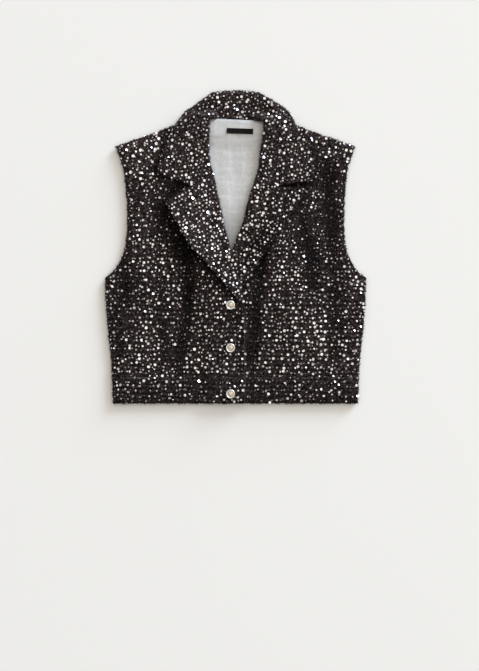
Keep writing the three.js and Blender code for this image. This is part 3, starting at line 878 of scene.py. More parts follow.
def set_tree():
    """Sets a small form on each point, turned and sized as the point says. Its shade goes along with it."""
    tree, enter, place = copying_tree("Set on points", "Points", "Size", 1.0)
    node = tree.nodes.new
    turn, size = node("GeometryNodeInputNamedAttribute"), node("GeometryNodeInputNamedAttribute")
    turn.data_type, size.data_type = "FLOAT_VECTOR", "FLOAT"
    fill(turn, {"Name": "turn"})
    fill(size, {"Name": "size"})
    to_turn = node("FunctionNodeEulerToRotation")
    scaled = node("ShaderNodeMath")
    scaled.operation = "MULTIPLY"
    wire(
        tree,
        (enter, "Points", place, "Points"),
        (turn, "Attribute", to_turn, "Euler"),
        (to_turn, "Rotation", place, "Rotation"),
        (size, "Attribute", scaled, 0),
        (enter, "Size", scaled, 1),
        (scaled, "Value", place, "Scale"),
    )
    return tree


def stitch_tree():
    """Lays one small form after the other along a line, as stitches."""
    tree, enter, place = copying_tree("Sew along line", "Line", "Pitch", 0.003)
    curve = tree.nodes.new("GeometryNodeMeshToCurve")
    points = tree.nodes.new("GeometryNodeCurveToPoints")
    points.mode = "LENGTH"
    wire(
        tree,
        (enter, "Line", curve, "Mesh"),
        (curve, "Curve", points, "Curve"),
        (enter, "Pitch", points, "Length"),
        (points, "Points", place, "Points"),
        (points, "Rotation", place, "Rotation"),
    )
    return tree


def grown(name, source, tree, values):
    """A plain mesh piece from what a tree of nodes makes of a source mesh."""
    holder = placed(name + "_holder", source)
    modifier = holder.modifiers.new("nodes", "NODES")
    modifier.node_group = tree
    for item in tree.interface.items_tree:
        if item.item_type == "SOCKET" and item.in_out == "INPUT" and item.name in values:
            modifier[item.identifier] = values[item.name]
    bpy.context.view_layer.update()
    depsgraph = bpy.context.evaluated_depsgraph_get()
    mesh = bpy.data.meshes.new_from_object(holder.evaluated_get(depsgraph))
    mesh.name = name
    holder.modifiers.clear()
    bpy.data.objects.remove(holder)
    return mesh


def form_object(name, points, faces, smooth_faces=True):
    """A small form that is only copied from. It is taken out of the scene at the end."""
    form = placed(name, new_mesh(name, points, faces, smooth_faces))
    form.hide_render = True
    return form


def quads_between(sides, first, second):
    """Quads between two rings of points, which start at the numbers first and second."""
    i = np.arange(sides)
    j = (i + 1) % sides
    return np.stack([first + i, first + j, second + j, second + i], -1)


def lathe(profile, sides):
    """Points and faces of a closed turned form whose profile starts and ends on the axis."""
    inner = profile[1:-1]
    i = np.arange(sides)
    j = (i + 1) % sides
    angle = 2 * math.pi * i / sides
    rings = [np.stack([r * np.cos(angle), r * np.sin(angle), 0 * angle + z], -1) for r, z in inner]
    points = np.vstack([*rings, [(0, 0, profile[0][1])], [(0, 0, profile[-1][1])]])
    first, last, end = len(points) - 2, len(points) - 1, (len(inner) - 1) * sides
    quads = np.vstack([quads_between(sides, k, k + sides) for k in range(0, end, sides)])
    caps = np.stack([0 * i + first, j, i, 0 * i + last, end + i, end + j], -1)
    return points, np.vstack([quads[:, [0, 1, 2, 0, 2, 3]].reshape(-1, 3), caps.reshape(-1, 3)])


def sequin_form(diameter, hole=0.55, cup=0.25, thick=0.14, sides=8):
    """A cupped disc with a hole in its middle, lying on its back."""
    angle = 2 * math.pi * np.arange(sides) / sides
    ring = np.stack([np.cos(angle), np.sin(angle), 0 * angle], -1)
    rim, upper, lower = ring * diameter / 2, ring * hole / 2, ring * hole / 2
    rim[:, 2], upper[:, 2] = cup, thick
    outer, under = quads_between(sides, 0, sides), quads_between(sides, 0, 2 * sides)[:, [1, 0, 3, 2]]
    faces = np.stack([outer, under, quads_between(sides, sides, 2 * sides)], 1).reshape(-1, 4)
    return form_object("sequin_form", np.vstack([rim, upper, lower]), faces, smooth_faces=False)


def loop_form(radius, yarn, bends=4, sides=3):
    """A short curl of yarn, open at its foot."""
    k = np.arange(bends + 1)[:, None]
    turn = np.linspace(-0.2, 1.25, bends + 1)[:, None] * math.pi
    ring = 2 * math.pi * np.arange(sides) / sides
    thick = yarn * np.where(k % bends == 0, 0.55, 1.0 + 0.25 * (k % 2))
    out = radius + thick * np.cos(ring)
    aside = 0.25 * radius * (k % 2) + thick * np.sin(ring)
    points = np.stack([out * np.cos(turn), aside, out * np.sin(turn)], -1).reshape(-1, 3)
    quads = np.vstack([quads_between(sides, n * sides, (n + 1) * sides) for n in range(bends)])
    ends = [range(sides), range((bends + 1) * sides - 1, bends * sides - 1, -1)]
    return form_object("loop_form", points, np.vstack([quads[:, [0, 3, 2, 0, 2, 1]].reshape(-1, 3), ends]))


def stitch_form(long, thick):
    """One stitch: a short thread, thinner at both ends, along Z."""
    stations = [(0, -0.5), (0.15, -0.5), (0.9, -0.32), (1.0, 0.0), (0.9, 0.32), (0.15, 0.5), (0, 0.5)]
    points, faces = lathe([(thick / 2 * wide, long * place) for wide, place in stations], 5)
    return form_object("stitch_form", points, faces)


# What the operators share while the script runs
made = {}
STITCH, THREAD = 2.4, 0.55  # length and thickness of one stitch


def finishes(scene):
    if "finishes" not in made:
        made["finishes"] = {
            "tweed": tweed_finish(scene.gilet_cloth),
            "sequin": sequin_finish(scene.gilet_sequins),
            "loop": yarn_finish(scene.gilet_cloth),
            "lining": lining_finish(scene.gilet_lining),
            "label": label_finish(),
            "black thread": thread_finish("black_thread", (0.015, 0.014, 0.014)),
            "grey thread": thread_finish("grey_thread", tuple(scene.gilet_cloth.thread)),
        }
        sequins, cloth = scene.gilet_sequins, scene.gilet_cloth
        made["sequin form"] = sequin_form(sequins.diameter / MM)
        made["under sequin form"] = sequin_form(sequins.diameter / MM, sides=6)
        made["loop form"] = loop_form(cloth.loop_radius / MM, cloth.yarn / MM)
        made["stitch form"] = stitch_form(STITCH, THREAD)
        made["set"] = set_tree()
        made["sew"] = stitch_tree()
    return made["finishes"]


def laid(scene, name, places, turns, sizes, shades, form, finish):
    """A piece of copies of a form, one on each place."""
    mesh = bpy.data.meshes.new(name)
    mesh.from_pydata((places * MM).tolist(), [], [])
    for label, kind, field, values in (
        ("turn", "FLOAT_VECTOR", "vector", turns),
        ("size", "FLOAT", "value", sizes),
        ("shade", "FLOAT", "value", shades),
    ):
        attribute = mesh.attributes.new(label, kind, "POINT")
        attribute.data.foreach_set(field, np.asarray(values, np.float32).ravel())
    values = {"Finish": finishes(scene)[finish], "Form": made[form], "Size": 1.0}
    copies = grown(name, mesh, made["set"], values)
    bpy.data.meshes.remove(mesh)
    return new_piece(name, copies, None)


def strung(line, pitch, rng):
    """Places along a line in space, each a little off its own."""
    steps = np.hypot(*np.diff(line[:, :2], axis=0).T)
    far = np.concatenate([[0], np.cumsum(steps)])
    at = np.arange(0, far[-1], pitch)
    at = at + rng.normal(0, 0.32 * pitch, len(at))
    places = np.stack([np.interp(at, far, line[:, k]) for k in range(3)], -1)
    places[:, :2] += rng.normal(0, 0.35, (len(at), 2))
    return places


# The sequins' sizes and shades, as large, small and middle ones, and the least distance between two
SEQUIN_SIZES = (1.15, 0.52, 0.77)
SEQUIN_SHADES = (1.05, 0.35, 0.7)
SEQUINS_APART = 2.9
LOOP_STEP = 1.9  # between two yarn loops along a cloth's end


def sequins_on(scene, name, drop, points, rng, dim=0.0, beside=None, lean=1.0, edges=()):
    """Sequins of three sizes. The larger ones are the brighter, and those in a fold, in a shade band or on
    steep cloth get painted shade. beside says how near other cloth's edge is, for the painted shadow next to
    it, lean how freely they tilt, and edges are lines of small sequins along the cloth's ends."""
    look = scene.gilet_sequins
    places, normals = drop(*points)
    x, y = places[:, 0], places[:, 1]
    deep = 0 * x
    # In the folds and shade bands the sequins get painted shade and are fewer and smaller; where the bands
    # are below 0 they get painted light
    if beside is not None:
        deep = np.clip(0.4 * fold_depth(x, y) + painted_shade_share(PAINTED_SHADES, x, y), -0.4, 0.95)
    kept = (rng.random(len(places)) > 0.1 + 0.5 * deep) & spread_out(x, y, SEQUINS_APART)
    places, normals, deep = places[kept], normals[kept], deep[kept]
    steep = smooth((np.hypot(normals[:, 0], normals[:, 1]) - 0.3) / 0.4)
    count = len(places)
    golden = (math.sqrt(5) - 1) / 2
    rank = (golden * np.arange(count) + rng.uniform(0, 0.2, count)) % 1
    large, small = rank < look.large, rank > 1 - look.small
    kind = np.where(large, 0, np.where(small, 1, 2))
    sizes = np.array(SEQUIN_SIZES)[kind] * rng.uniform(0.88, 1.12, count)
    shades = np.array(SEQUIN_SHADES)[kind] + rng.uniform(-0.4, 0.35, count)
    x, y = places[:, 0], places[:, 1]
    # Painted shadow next to cloth that lies over them; on the chest they are a little duller and smaller
    if beside is not None:
        chest = smooth((y + 40) / 50) * smooth((120 - y) / 50)
        shades = shades * (1 - deep) * (1 - 0.9 * beside(x, y)) * (1 - 0.08 * chest)
        sizes = sizes * (1 - 0.35 * deep) * (1 - 0.13 * chest)
    # dim takes a random share off each shade, or adds painted light where it is below 0; sequins on steep
    # cloth, as on the rolls, get painted shade
    shades = (shades - dim * rng.random(count)) * (1 - 0.6 * steep)
    aims = normals * np.array([0.6, 0.6, 1.0]) ** (1 / min(lean, 1))
    aims[:, :2] += rng.normal(0, look.tilt * lean, (count, 2))
    places = places + normals * 0.35 * min(lean, 1)
    for line in edges:
        rim = strung(line, 1.3 * look.spacing / MM, rng)
        rim[:, 2] += rng.uniform(-0.9, 0.2, len(rim))
        turned = np.hstack([rng.normal(0, 1.6 * look.tilt, (len(rim), 2)), np.ones((len(rim), 1))])
        places, aims = np.vstack([places, rim]), np.vstack([aims, turned])
        sizes = np.concatenate([sizes, rng.uniform(0.45, 0.85, len(rim))])
        shades = np.concatenate([shades, rng.uniform(0.2, 1.0, len(rim))])
    form = "sequin form" if lean >= 1 else "under sequin form"
    shades = np.clip(shades, 0, 1)
    return laid(scene, "sequins_" + name, places, facing(aims), sizes, shades, form, "sequin")


def any_way(rng, count, roll, lean, turn):
    """Turns by chance round X, Y and Z."""
    rolls, leans = rng.normal(0, roll, count), rng.normal(0, lean, count)
    return np.stack([rolls, leans, rng.uniform(0, turn, count)], -1)


def loops_on(scene, name, drop, points, rng, rim=()):
    """Yarn loops that stand and lie every way on the cloth, and along its rims."""
    places, normals = drop(*points)
    places = places + normals * rng.uniform(-0.7, 0.15, len(places))[:, None]
    turns = any_way(rng, len(places), 0.9, 0.5, 2 * math.pi)
    for line in rim:
        edge = strung(line, LOOP_STEP, rng)
        edge[:, 2] += rng.uniform(-1.6, 0.0, len(edge))
        places = np.vstack([places, edge])
        turns = np.vstack([turns, any_way(rng, len(edge), 1.2, 0.8, 6.3)])
    count = len(places)
    sizes, shades = rng.uniform(0.7, 1.25, count), rng.random(count) ** 1.5
    return laid(scene, "loops_" + name, places, turns, sizes, shades, "loop form", "loop")


def box_of(upper):
    flat = upper.reshape(-1, 3)
    return (*flat[:, :2].min(0), *flat[:, :2].max(0))


def rims(upper, sides):
    """The boundary lines of an upper grid."""
    lines = {"left": upper[:, 0], "right": upper[:, -1], "bottom": upper[0], "top": upper[-1]}
    return [lines[side] for side in sides]


def dress(
    scene, name, upper, seed, covers=(), rows=True, degrees=0, dim=0.0, rim=(), loops=True, below=False,
    beside=None, lean=1.0, trim=(), lines=(),
):
    """Sets sequins and yarn loops on a cloth's grid, and returns the pieces. trim names the sides that get
    sequins of their own, rim those that get loops, and lines are more lines of loops."""
    look, cloth = scene.gilet_sequins, scene.gilet_cloth
    rng = np.random.default_rng(seed)
    drop = over_cloth(upper, covers, below)
    box = box_of(upper)
    spacing = look.spacing / MM
    if rows:
        points = in_rows(box, PITCH, spacing, rng)
    else:
        points = turned_lattice(box, spacing * 1.05, spacing * 1.05, degrees, rng)
    pieces = [sequins_on(scene, name, drop, points, rng, dim, beside, lean, rims(upper, trim))]
    if loops:
        step = cloth.loop_spacing / MM
        curls = turned_lattice(box, step * 1.6, step, 3, rng)
        pieces.append(loops_on(scene, name, drop, curls, rng, [*rims(upper, rim), *lines]))
    return pieces


def outline_of(sides):
    """The closed line round four outlines."""
    low, right, top, left = (sides[side].points for side in ("bottom", "right", "top", "left"))
    return np.vstack([low, right, top[::-1], left[::-1]])


def cloth_piece(scene, name, walls, tone=None, slot="tweed", node=None):
    """One piece of cloth, which takes the place of a node of the same name, or of the one given."""
    mesh = cloth_mesh(name, walls, tone)
    return new_piece(name + "_cloth", mesh, finishes(scene)[slot], [node or name])


def sewn(scene, name, line, top, finish, pitch=3.4, height=0.15):
    """A row of stitches along a line of (x, y), laid on the height that top gives."""
    x, y = np.asarray(line, float).T
    points = np.stack([x, y, top(x, y) + height], -1)
    edges = np.stack([np.arange(len(x) - 1), np.arange(1, len(x))], -1)
    mesh = bpy.data.meshes.new(name)
    mesh.from_pydata((points * MM).tolist(), edges.tolist(), [])
    values = {"Finish": finishes(scene)[finish], "Form": made["stitch form"], "Pitch": pitch * MM}
    threads = grown(name, mesh, made["sew"], values)
    bpy.data.meshes.remove(mesh)
    return new_piece(name, threads, None)


# Each piece's outlines, and the levels of its faces
def front_relief(scene):
    height = scene.gilet_cloth.relief / MM

    def relief(x, y):
        weave = boucle(x, y, height, PITCH, 1.0)
        seam = np.zeros_like(x)
        for line in DARTS.values():
            seam += 0.9 * np.exp(-((off_line(spline(line, 4), x, y) / 1.6) ** 2))
        return weave - seam - troughs(CREASES, x, y)

    return relief


def loose_relief(scene, rows=0.15):
    height = scene.gilet_cloth.relief / MM
    return lambda x, y: boucle(x, y, height, PITCH, rows)


def right_front_sides():
    waist = WAIST_Y + SEAM / 2
    under_roll = shifted(ROLL_RIGHT[1:], -ROLL - 1.2)
    edge = [(FRONT_EDGE_X, -116), (FRONT_EDGE_X - 1, -104), (5, -96), (-1, -82)]
    return {
        "left": Outline([(-WAIST_CORNER[0], waist)] + mirrored(SIDE_SEAM)[1:], mirrored(ARMHOLE)),
        "right": Outline(
            [(FRONT_EDGE_X, waist), (FRONT_EDGE_X, -116)],
            edge + under_roll[:1],
            under_roll,
            [under_roll[-1], (-64, 158), (-77, 188), (-NECK_POINT[0], NECK_POINT[1])],
        ),
        "bottom": Outline([(-WAIST_CORNER[0], waist), (FRONT_EDGE_X, waist)]),
        "top": Outline(mirrored(SHOULDER)),
    }


def left_front_sides():
    waist = WAIST_Y + SEAM / 2
    under_roll = shifted(ROLL_LEFT, ROLL + 1.2)
    return {
        "left": Outline(
            [(LEFT_EDGE_X, waist), (LEFT_EDGE_X, -112)],
            [(LEFT_EDGE_X, -112), (-28, -103), under_roll[0]],
            under_roll,
            [under_roll[-1], (62, 160), (77, 190), NECK_POINT],
        ),
        "right": Outline([(WAIST_CORNER[0], waist)] + SIDE_SEAM[1:], ARMHOLE),
        "bottom": Outline([(LEFT_EDGE_X, waist), (WAIST_CORNER[0], waist)]),
        "top": Outline(SHOULDER[::-1]),
    }


def right_lapel_sides():
    return {
        "left": Outline(LAPEL_RIGHT_EDGE),
        "right": Outline(ROLL_RIGHT),
        "bottom": Outline([LAPEL_RIGHT_EDGE[0], ROLL_RIGHT[0]]),
        "top": Outline([LAPEL_RIGHT_EDGE[-1], NOTCH_RIGHT], [NOTCH_RIGHT, ROLL_RIGHT[-1]]),
    }


def left_lapel_sides():
    return {
        "left": Outline(ROLL_LEFT),
        "right": Outline(LAPEL_LEFT_EDGE),
        "bottom": Outline([ROLL_LEFT[0], LAPEL_LEFT_EDGE[0]]),
        "top": Outline([ROLL_LEFT[-1], NOTCH_LEFT], [NOTCH_LEFT, LAPEL_LEFT_EDGE[-1]]),
    }


COLLAR_INNER = [
    shifted([(-38, 124), (-43.4, 148), (-44.5, 183), (-45, 207)], 0, GORGE),
    [(-45, 207), (-45.5, 215), (-42, float(neck_y(-42)))],
    [(-42, float(neck_y(-42))), (46, float(neck_y(46)))],
    [(46, float(neck_y(46))), (50, 211), (48.5, 203)],
    shifted([(48.5, 203), (45, 182), (41.4, 155), (37.8, 127)], 0, GORGE),
]
LEAF_RIGHT = [LEAF_TIP_RIGHT, (-127.5, 142), (-118, 173), (-108, 197), (-95, 215)]
LEAF_RIGHT += [(-81, 229), (-68, 241.5)]
BACK_FOLD = [(-68, 241.5), (-54, 252.5), (-40, 262), (-22, 265.2), (0, COLLAR_TOP_Y)]
BACK_FOLD += [(24, 265.2), (42, 262), (55, 254.5), (66, 247)]
LEAF_LEFT = [(66, 247), (78, 235), (93, 218), (107, 200), (119, 178), (129, 152)]
LEAF_LEFT += [(132, 128), LEAF_TIP_LEFT]


def collar_sides():
    gorge_right = [(-38, 124 + GORGE), (NOTCH_RIGHT[0], NOTCH_RIGHT[1] + 3)]
    gorge_left = [(37.8, 127 + GORGE), (NOTCH_LEFT[0] + 0.6, NOTCH_LEFT[1] + 2)]
    return {
        "left": Outline(*COLLAR_INNER),
        "right": Outline(LEAF_RIGHT, BACK_FOLD, LEAF_LEFT),
        "bottom": Outline(gorge_right, [gorge_right[1], LEAF_TIP_RIGHT]),
        "top": Outline(gorge_left, [gorge_left[1], LEAF_TIP_LEFT]),
    }


def lapel_heights(roll_side, base, rises):
    def heights(x, y, off, s):
        width = off["left"] + off["right"]
        rise = rise_at(rises, s) * (off[roll_side] / np.maximum(width, 1e-6)) ** 1.4
        under = base(x, y) + CLOTH + REST + rise
        narrow = np.minimum(1, 0.45 * width / (ROLL - 0.4))
        doubled = 1 - smooth((off[roll_side] - (ROLL - 2) * narrow) / (1.6 * narrow))
        return mix(under, base(x, y), doubled), under + CLOTH

    return heights


def collar_heights(x, y, off, s):
    leaf = leafness(x, y)
    body = np.minimum(y, body_top_y(x) - 2)
    front = np.where(x < 0, right_base(x, body), front_base(x, body)) + CLOTH + REST
    puff = 2.2 * np.exp(-(((off["right"] - 9) / 9) ** 2)) * (1 - leaf)
    under = mix(BAND_BASE, front, leaf)
    top = under + COLLAR_CLOTH + puff
    inner_roll = leaf * (1 - smooth((off["left"] - ROLL + 2) / 1.6))
    back_roll = (1 - smooth((off["right"] - ROLL) / 2)) * smooth((80 - np.abs(x)) / 10)
    back_roll = back_roll * (1 - leaf)
    low = np.minimum(lining_top(x, body) + STAND_REST, under)
    return mix(mix(under, low, inner_roll), 0.4, back_roll), top


def squared(grid):
    """Keeps the collar's inner roll out of the corners of the neck opening."""
    x, y = grid[..., 0], grid[..., 1]
    seam = neck_y(x) + 0.15
    inner = (x > -45.3) & (x < 49.4) & (y > 200) & (y < seam)
    grid[..., 1] = np.where(inner, seam, y)
    return grid


def fall_sides():
    reach = [(-FALL_HALF, 210), (-94, 221), (-87, 230), (-80, 235.5), (-67, 244)]
    reach += [(-53.5, 252.5), (-40, 262), (-22, 265.2), (0, COLLAR_TOP_Y), (24, 265.2)]
    reach += [(42, 262), (55, 254.5), (69, 246.5), (81, 239), (91, 230), (96, 221)]
    reach += [(FALL_HALF, 210)]
    under = [(x, float(fall_edge_y(x)) - 1) for x in (-FALL_HALF, -60, 0, 60, FALL_HALF)]
    return {
        "left": Outline([under[0], reach[0]]),
        "right": Outline([under[-1], reach[-1]]),
        "bottom": Outline(under),
        "top": Outline(reach),
    }


def stand_sides(hand):
    seam = [(48.5, 130.5), (60.5, 158), (72.5, 188), (80.5, 211)]
    right = [(41, 132), (46, 160), (47.5, 190), (50, 211)]
    left = [(41, 132), (44.5, 160), (48.5, 188), (53, 211)]
    roll = right if hand < 0 else left
    turned = [[(x * hand, y) for x, y in line] for line in (roll, seam)]
    return {
        "left": Outline(turned[0]),
        "right": Outline(turned[1]),
        "bottom": Outline([turned[0][0], turned[1][0]]),
        "top": Outline([turned[0][-1], turned[1][-1]]),
    }


def band_sides(x1, x2, waist1, waist2):
    waist = WAIST_Y - SEAM / 2
    return {
        "left": Outline([(x1, HEM_Y), (waist1, waist)]),
        "right": Outline([(x2, HEM_Y), (waist2, waist)]),
        "bottom": Outline([(x1, HEM_Y), (x2, HEM_Y)]),
        "top": Outline([(waist1, waist), (waist2, waist)]),
    }


# Settings that a user would change
def number(name, description, default, **kind):
    return bpy.props.FloatProperty(name=name, description=description, default=default, **kind)


def length(name, description, default):
    return number(name, description, default, unit="LENGTH")


def colour(name, description, default):
    return bpy.props.FloatVectorProperty(name=name, description=description, default=default, subtype="COLOR")


class Cloth(bpy.types.PropertyGroup):
    """The tweed itself."""

    relief: length("Relief", "Height of the boucle's tufts", 0.0013)
    cell: length("Cell", "Size of the mesh's cells", 0.0024)
    yarn: length("Yarn radius", "Radius of the looped yarn", 0.0004)
    loop_radius: length("Loop radius", "Radius of a yarn loop", 0.0012)
    loop_spacing: length("Loop spacing", "Distance between two yarn loops", 0.0033)
    dark: colour("Dark", "Deepest colour of the cloth", (0.0058, 0.004, 0.0037))
    pale: colour("Pale", "Colour of the paler fibres", (0.084, 0.062, 0.064))
    loop: colour("Loop", "Palest colour of a yarn loop", (0.07, 0.056, 0.058))
    thread: colour("Thread", "Colour of the front edge's thread", (0.12, 0.115, 0.115))


class Sequins(bpy.types.PropertyGroup):
    """The sequins on the tweed."""

    diameter: length("Diameter", "Width of a sequin of size 1", 0.004)
    spacing: length("Spacing", "Distance between two sequins of a row", 0.0062)
    large: number("Large", "Share of large sequins", 0.19)
    small: number("Small", "Share of small sequins", 0.38)
    tilt: number("Tilt", "How far a sequin usually leans", 0.22, subtype="ANGLE")
    bright: colour("Bright", "Colour of the brightest sequins", (0.955, 0.945, 0.995))
    dull: colour("Dull", "Colour of the dullest sequins", (0.145, 0.127, 0.135))


class LiningSizes(bpy.types.PropertyGroup):
    """The lining and the neck label."""

    shade: colour("Colour", "Colour of the lining", (0.575, 0.585, 0.605))
    label_width: length("Label width", "Width of the neck label", 0.045)
    label_height: length("Label height", "Height of the neck label", 0.0092)


class ButtonLook(bpy.types.PropertyGroup):
    """The metal buttons."""

    rim: colour("Rim", "Colour of the polished rim", (0.9, 0.88, 0.84))
    dome: colour("Dome", "Colour of the satin dome", (0.6, 0.54, 0.46))


class Studio(bpy.types.PropertyGroup):
    """The surface, the lights and the camera."""

    distance: length("Camera height", "Height of the camera over the surface", 2.6)
    key: number("Key", "Strength of the light from the upper right", 5.1)
    key_elevation: number("Key elevation", "Height of the key light over the horizon", 0.21, subtype="ANGLE")
    key_azimuth: number("Key azimuth", "Direction of the key light from +X", 0.87, subtype="ANGLE")
    key_spread: number("Key spread", "Width of the key light as seen from the cloth", 0.5, subtype="ANGLE")
    key_colour: colour("Key colour", "Colour of the key light", (0.755, 0.863, 1.0))
    fill: number("Fill", "Strength of the light all round", 0.62)
    fill_colour: colour("Fill colour", "Colour of the light all round", (1.0, 0.94, 0.845))
    surface: colour("Surface", "Colour of the surface", (0.84, 0.843, 0.846))


class GILET_OT_back(bpy.types.Operator):
    """Builds the back, which lies on the surface with its right side down"""

    bl_idname = "gilet.back"
    bl_label = "Back"

    def execute(self, context):
        scene = context.scene
        neck = [(x, float(neck_y(x)) + below) for x, below in NECK_CORNERS]
        waist = WAIST_Y + SEAM / 2
        sides = {
            "left": Outline(*(shifted(mirrored(line), 0, SEAM) for line in (SIDE_SEAM, ARMHOLE))),
            "right": Outline(*(shifted(line, 0, SEAM) for line in (SIDE_SEAM, ARMHOLE))),
            "bottom": Outline([(-WAIST_CORNER[0], waist), (WAIST_CORNER[0], waist)]),
            "top": Outline(
                mirrored(SHOULDER),
                [(-NECK_POINT[0], NECK_POINT[1]), neck[0]],
                *zip(neck[:-1], neck[1:]),
                [neck[-1], NECK_POINT],
                SHOULDER[::-1],
            ),
        }
        weave = loose_relief(scene, 1.0)
        under = lambda x, y: np.minimum(0.7 * weave(x, y) - 0.15, 0)
        levels = lambda x, y, off, s: (lift(x, y), back_top(x, y))
        rounded = {"left": EDGE, "right": EDGE, "top": EDGE}
        upper, lower = wall(sides, BACK_CELL, levels, rounded, worn=0, under_relief=under)
        made["back grid"] = (upper, lower)
        piece = cloth_piece(scene, "back", [(upper, lower)], rows_tone)
        extras = dress(scene, "back", lower, seed=5, loops=False, below=True, lean=0.25)
        return {"FINISHED"}


class GILET_OT_lining(bpy.types.Operator):
    """Lays the lining on the back, and sews the bare label to it"""

    bl_idname = "gilet.lining"
    bl_label = "Lining and label"

    def execute(self, context):
        scene = context.scene
        upper = made["back grid"][0][:-3, 3:-3].copy()
        end = upper[-1]
        at_neck = smooth((60 - np.abs(end[:, 0])) / 10)
        end[:, 1] += (neck_y(end[:, 0]) + 0.4 - end[:, 1]) * at_neck
        end[:, 2] += 0.5 * at_neck
        x, y = upper[..., 0], upper[..., 1]
        ripple = 0.3 * NOISE.at(x, y * 0.4, 13) + 0.22 * NOISE_2.at(x * 0.7, y, 8)
        seam = 0.7 * np.exp(-(((y - LINING_SEAM_Y - 0.02 * x) / 2.2) ** 2)) * smooth((60 - np.abs(x)) / 8)
        bent, wave = 2.5 * NOISE.at(x, y, 30), 2 * math.pi / PRESSED_GRID
        pressed = 0.13 * np.cos(wave * (y + bent)) + 0.1 * np.cos(wave * (x + bent))
        raised = upper + np.array([0, 0, SEAM])
        top = raised + np.array([0, 0, LINING])
        top[..., 2] += ripple - seam + pressed - troughs(LINING_CREASES, x, y) - 0.2
        lining = cloth_piece(scene, "lining", [(top, raised)], lining_tone, "lining", "back_lining")
        look = scene.gilet_lining
        wide, high = look.label_width / MM, look.label_height / MM
        c, s = math.cos(LABEL_TILT), math.sin(LABEL_TILT)
        u, v = np.meshgrid(np.linspace(-1, 1, 61), np.linspace(-1, 1, 17), indexing="xy")
        lx = LABEL_X + (u * wide * c - v * high * s) / 2
        ly = LABEL_Y + (u * wide * s + v * high * c) / 2
        border = smooth((np.abs(v) - 0.72) / 0.1) * 0.08 + smooth((np.abs(u) - 0.955) / 0.02) * 0.18
        curl = 0.25 * np.cos(u * 4.5) * (1 - np.abs(u)) + 0.1 * NOISE.at(lx, ly, 6)
        low = lining_top(lx, ly) + SEAM + np.maximum(curl, 0)
        faces = [np.stack([lx, ly, z], -1) for z in (low + LABEL_CLOTH + border, low)]
        label = cloth_piece(scene, "label", [faces], None, "label", "neck_label")
        over = lambda x, y: lining_top(x, y) + 1.0
        for k, side in enumerate((-1, 1)):
            at = side * (wide / 2 - 1.1)
            reach = np.linspace(-high / 2 + 0.6, high / 2 - 0.6, 6)
            line = [(LABEL_X + at * c - w * s, LABEL_Y + at * s + w * c) for w in reach]
            name = f"label_stitches_{k + 1}"
            sewn(scene, name, line, over, "black thread", pitch=2.6, height=0.1)
        return {"FINISHED"}


class GILET_OT_fronts(bpy.types.Operator):
    """Builds both fronts with their darts, sequins and yarn loops"""

    bl_idname = "gilet.fronts"
    bl_label = "Fronts"

    def execute(self, context):
        scene = context.scene
        cell, relief = scene.gilet_cloth.cell / MM, front_relief(scene)
        collar = outline_of(collar_sides())
        covers = {
            "right": [outline_of(right_lapel_sides()), collar],
            "left": [outline_of(left_lapel_sides()), collar, outline_of(right_front_sides())],
        }
        plans = (
            ("right", right_front_sides(), right_base, "left", 21),
            ("left", left_front_sides(), front_base, "right", 22),
        )
        for hand, sides, base, outer, seed in plans:
            edges = {"left": 2, "right": 2, "top": EDGE, "bottom": 1.2, outer: EDGE}
            levels = lambda x, y, off, s: (base(x, y), base(x, y) + CLOTH)
            upper, lower = wall(sides, cell, levels, edges, worn=0.9, relief=relief)
            # Painted shadow on the fronts next to the lapels and collar that lie on them
            beside = under_edges(covers[hand][:2], 3.5)
            piece = cloth_piece(scene, f"{hand}_front", [(upper, lower)], front_tone(beside))
            extras = dress(
                scene, f"{hand}_front", upper, seed, covers[hand],
                rim=("left", "right", "top"), beside=beside, trim=(outer, "top"),
            )
            top = lambda x, y: base(x, y) + CLOTH + relief(x, y)
            dart = spline(DARTS[hand], 8)
            extras.append(sewn(scene, f"dart_stitches_{hand}", dart, top, "black thread"))
            if hand == "right":
                edge = [(FRONT_EDGE_X - 1.8, y) for y in np.linspace(WAIST_Y + 2, -114, 40)]
                extras.append(sewn(scene, "front_edge_stitches", edge, top, "grey thread"))
        return {"FINISHED"}


class GILET_OT_lapels(bpy.types.Operator):
    """Builds both lapels, turned back along their rolls"""

    bl_idname = "gilet.lapels"
    bl_label = "Lapels"

    def execute(self, context):
        scene = context.scene
        cell, relief = scene.gilet_cloth.cell / MM, loose_relief(scene)
        over = [outline_of(right_front_sides())]
        plans = (
            # A dim below 0 paints light on the sequins: much on the right lapel, which faces the key light, a
            # little on the left
            ("right", "left", right_lapel_sides(), right_base, RISE_RIGHT, 31, [], 28, -0.75, ("left",)),
            ("left", "right", left_lapel_sides(), front_base, RISE_LEFT, 32, over, -24, -0.1, ()),
        )
        for hand, free, sides, base, rises, seed, covers, turn, dim, trim in plans:
            edges = {free: EDGE, hand: 6, "top": 2.4, "bottom": 2.4}
            heights = lapel_heights(hand, base, rises)
            grid = wall(sides, cell, heights, edges, relief=relief)
            # The lapels' tone holds their painted shade and light
            piece = cloth_piece(scene, f"{hand}_lapel", [grid], lambda x, y: 1 - painted_shade_share(PAINTED_LAPEL_SHADES, x, y))
            extras = dress(
                scene, f"{hand}_lapel", grid[0], seed, covers, rows=False, degrees=turn, dim=dim,
                rim=("left", "right", "top"), trim=trim,
            )
        return {"FINISHED"}


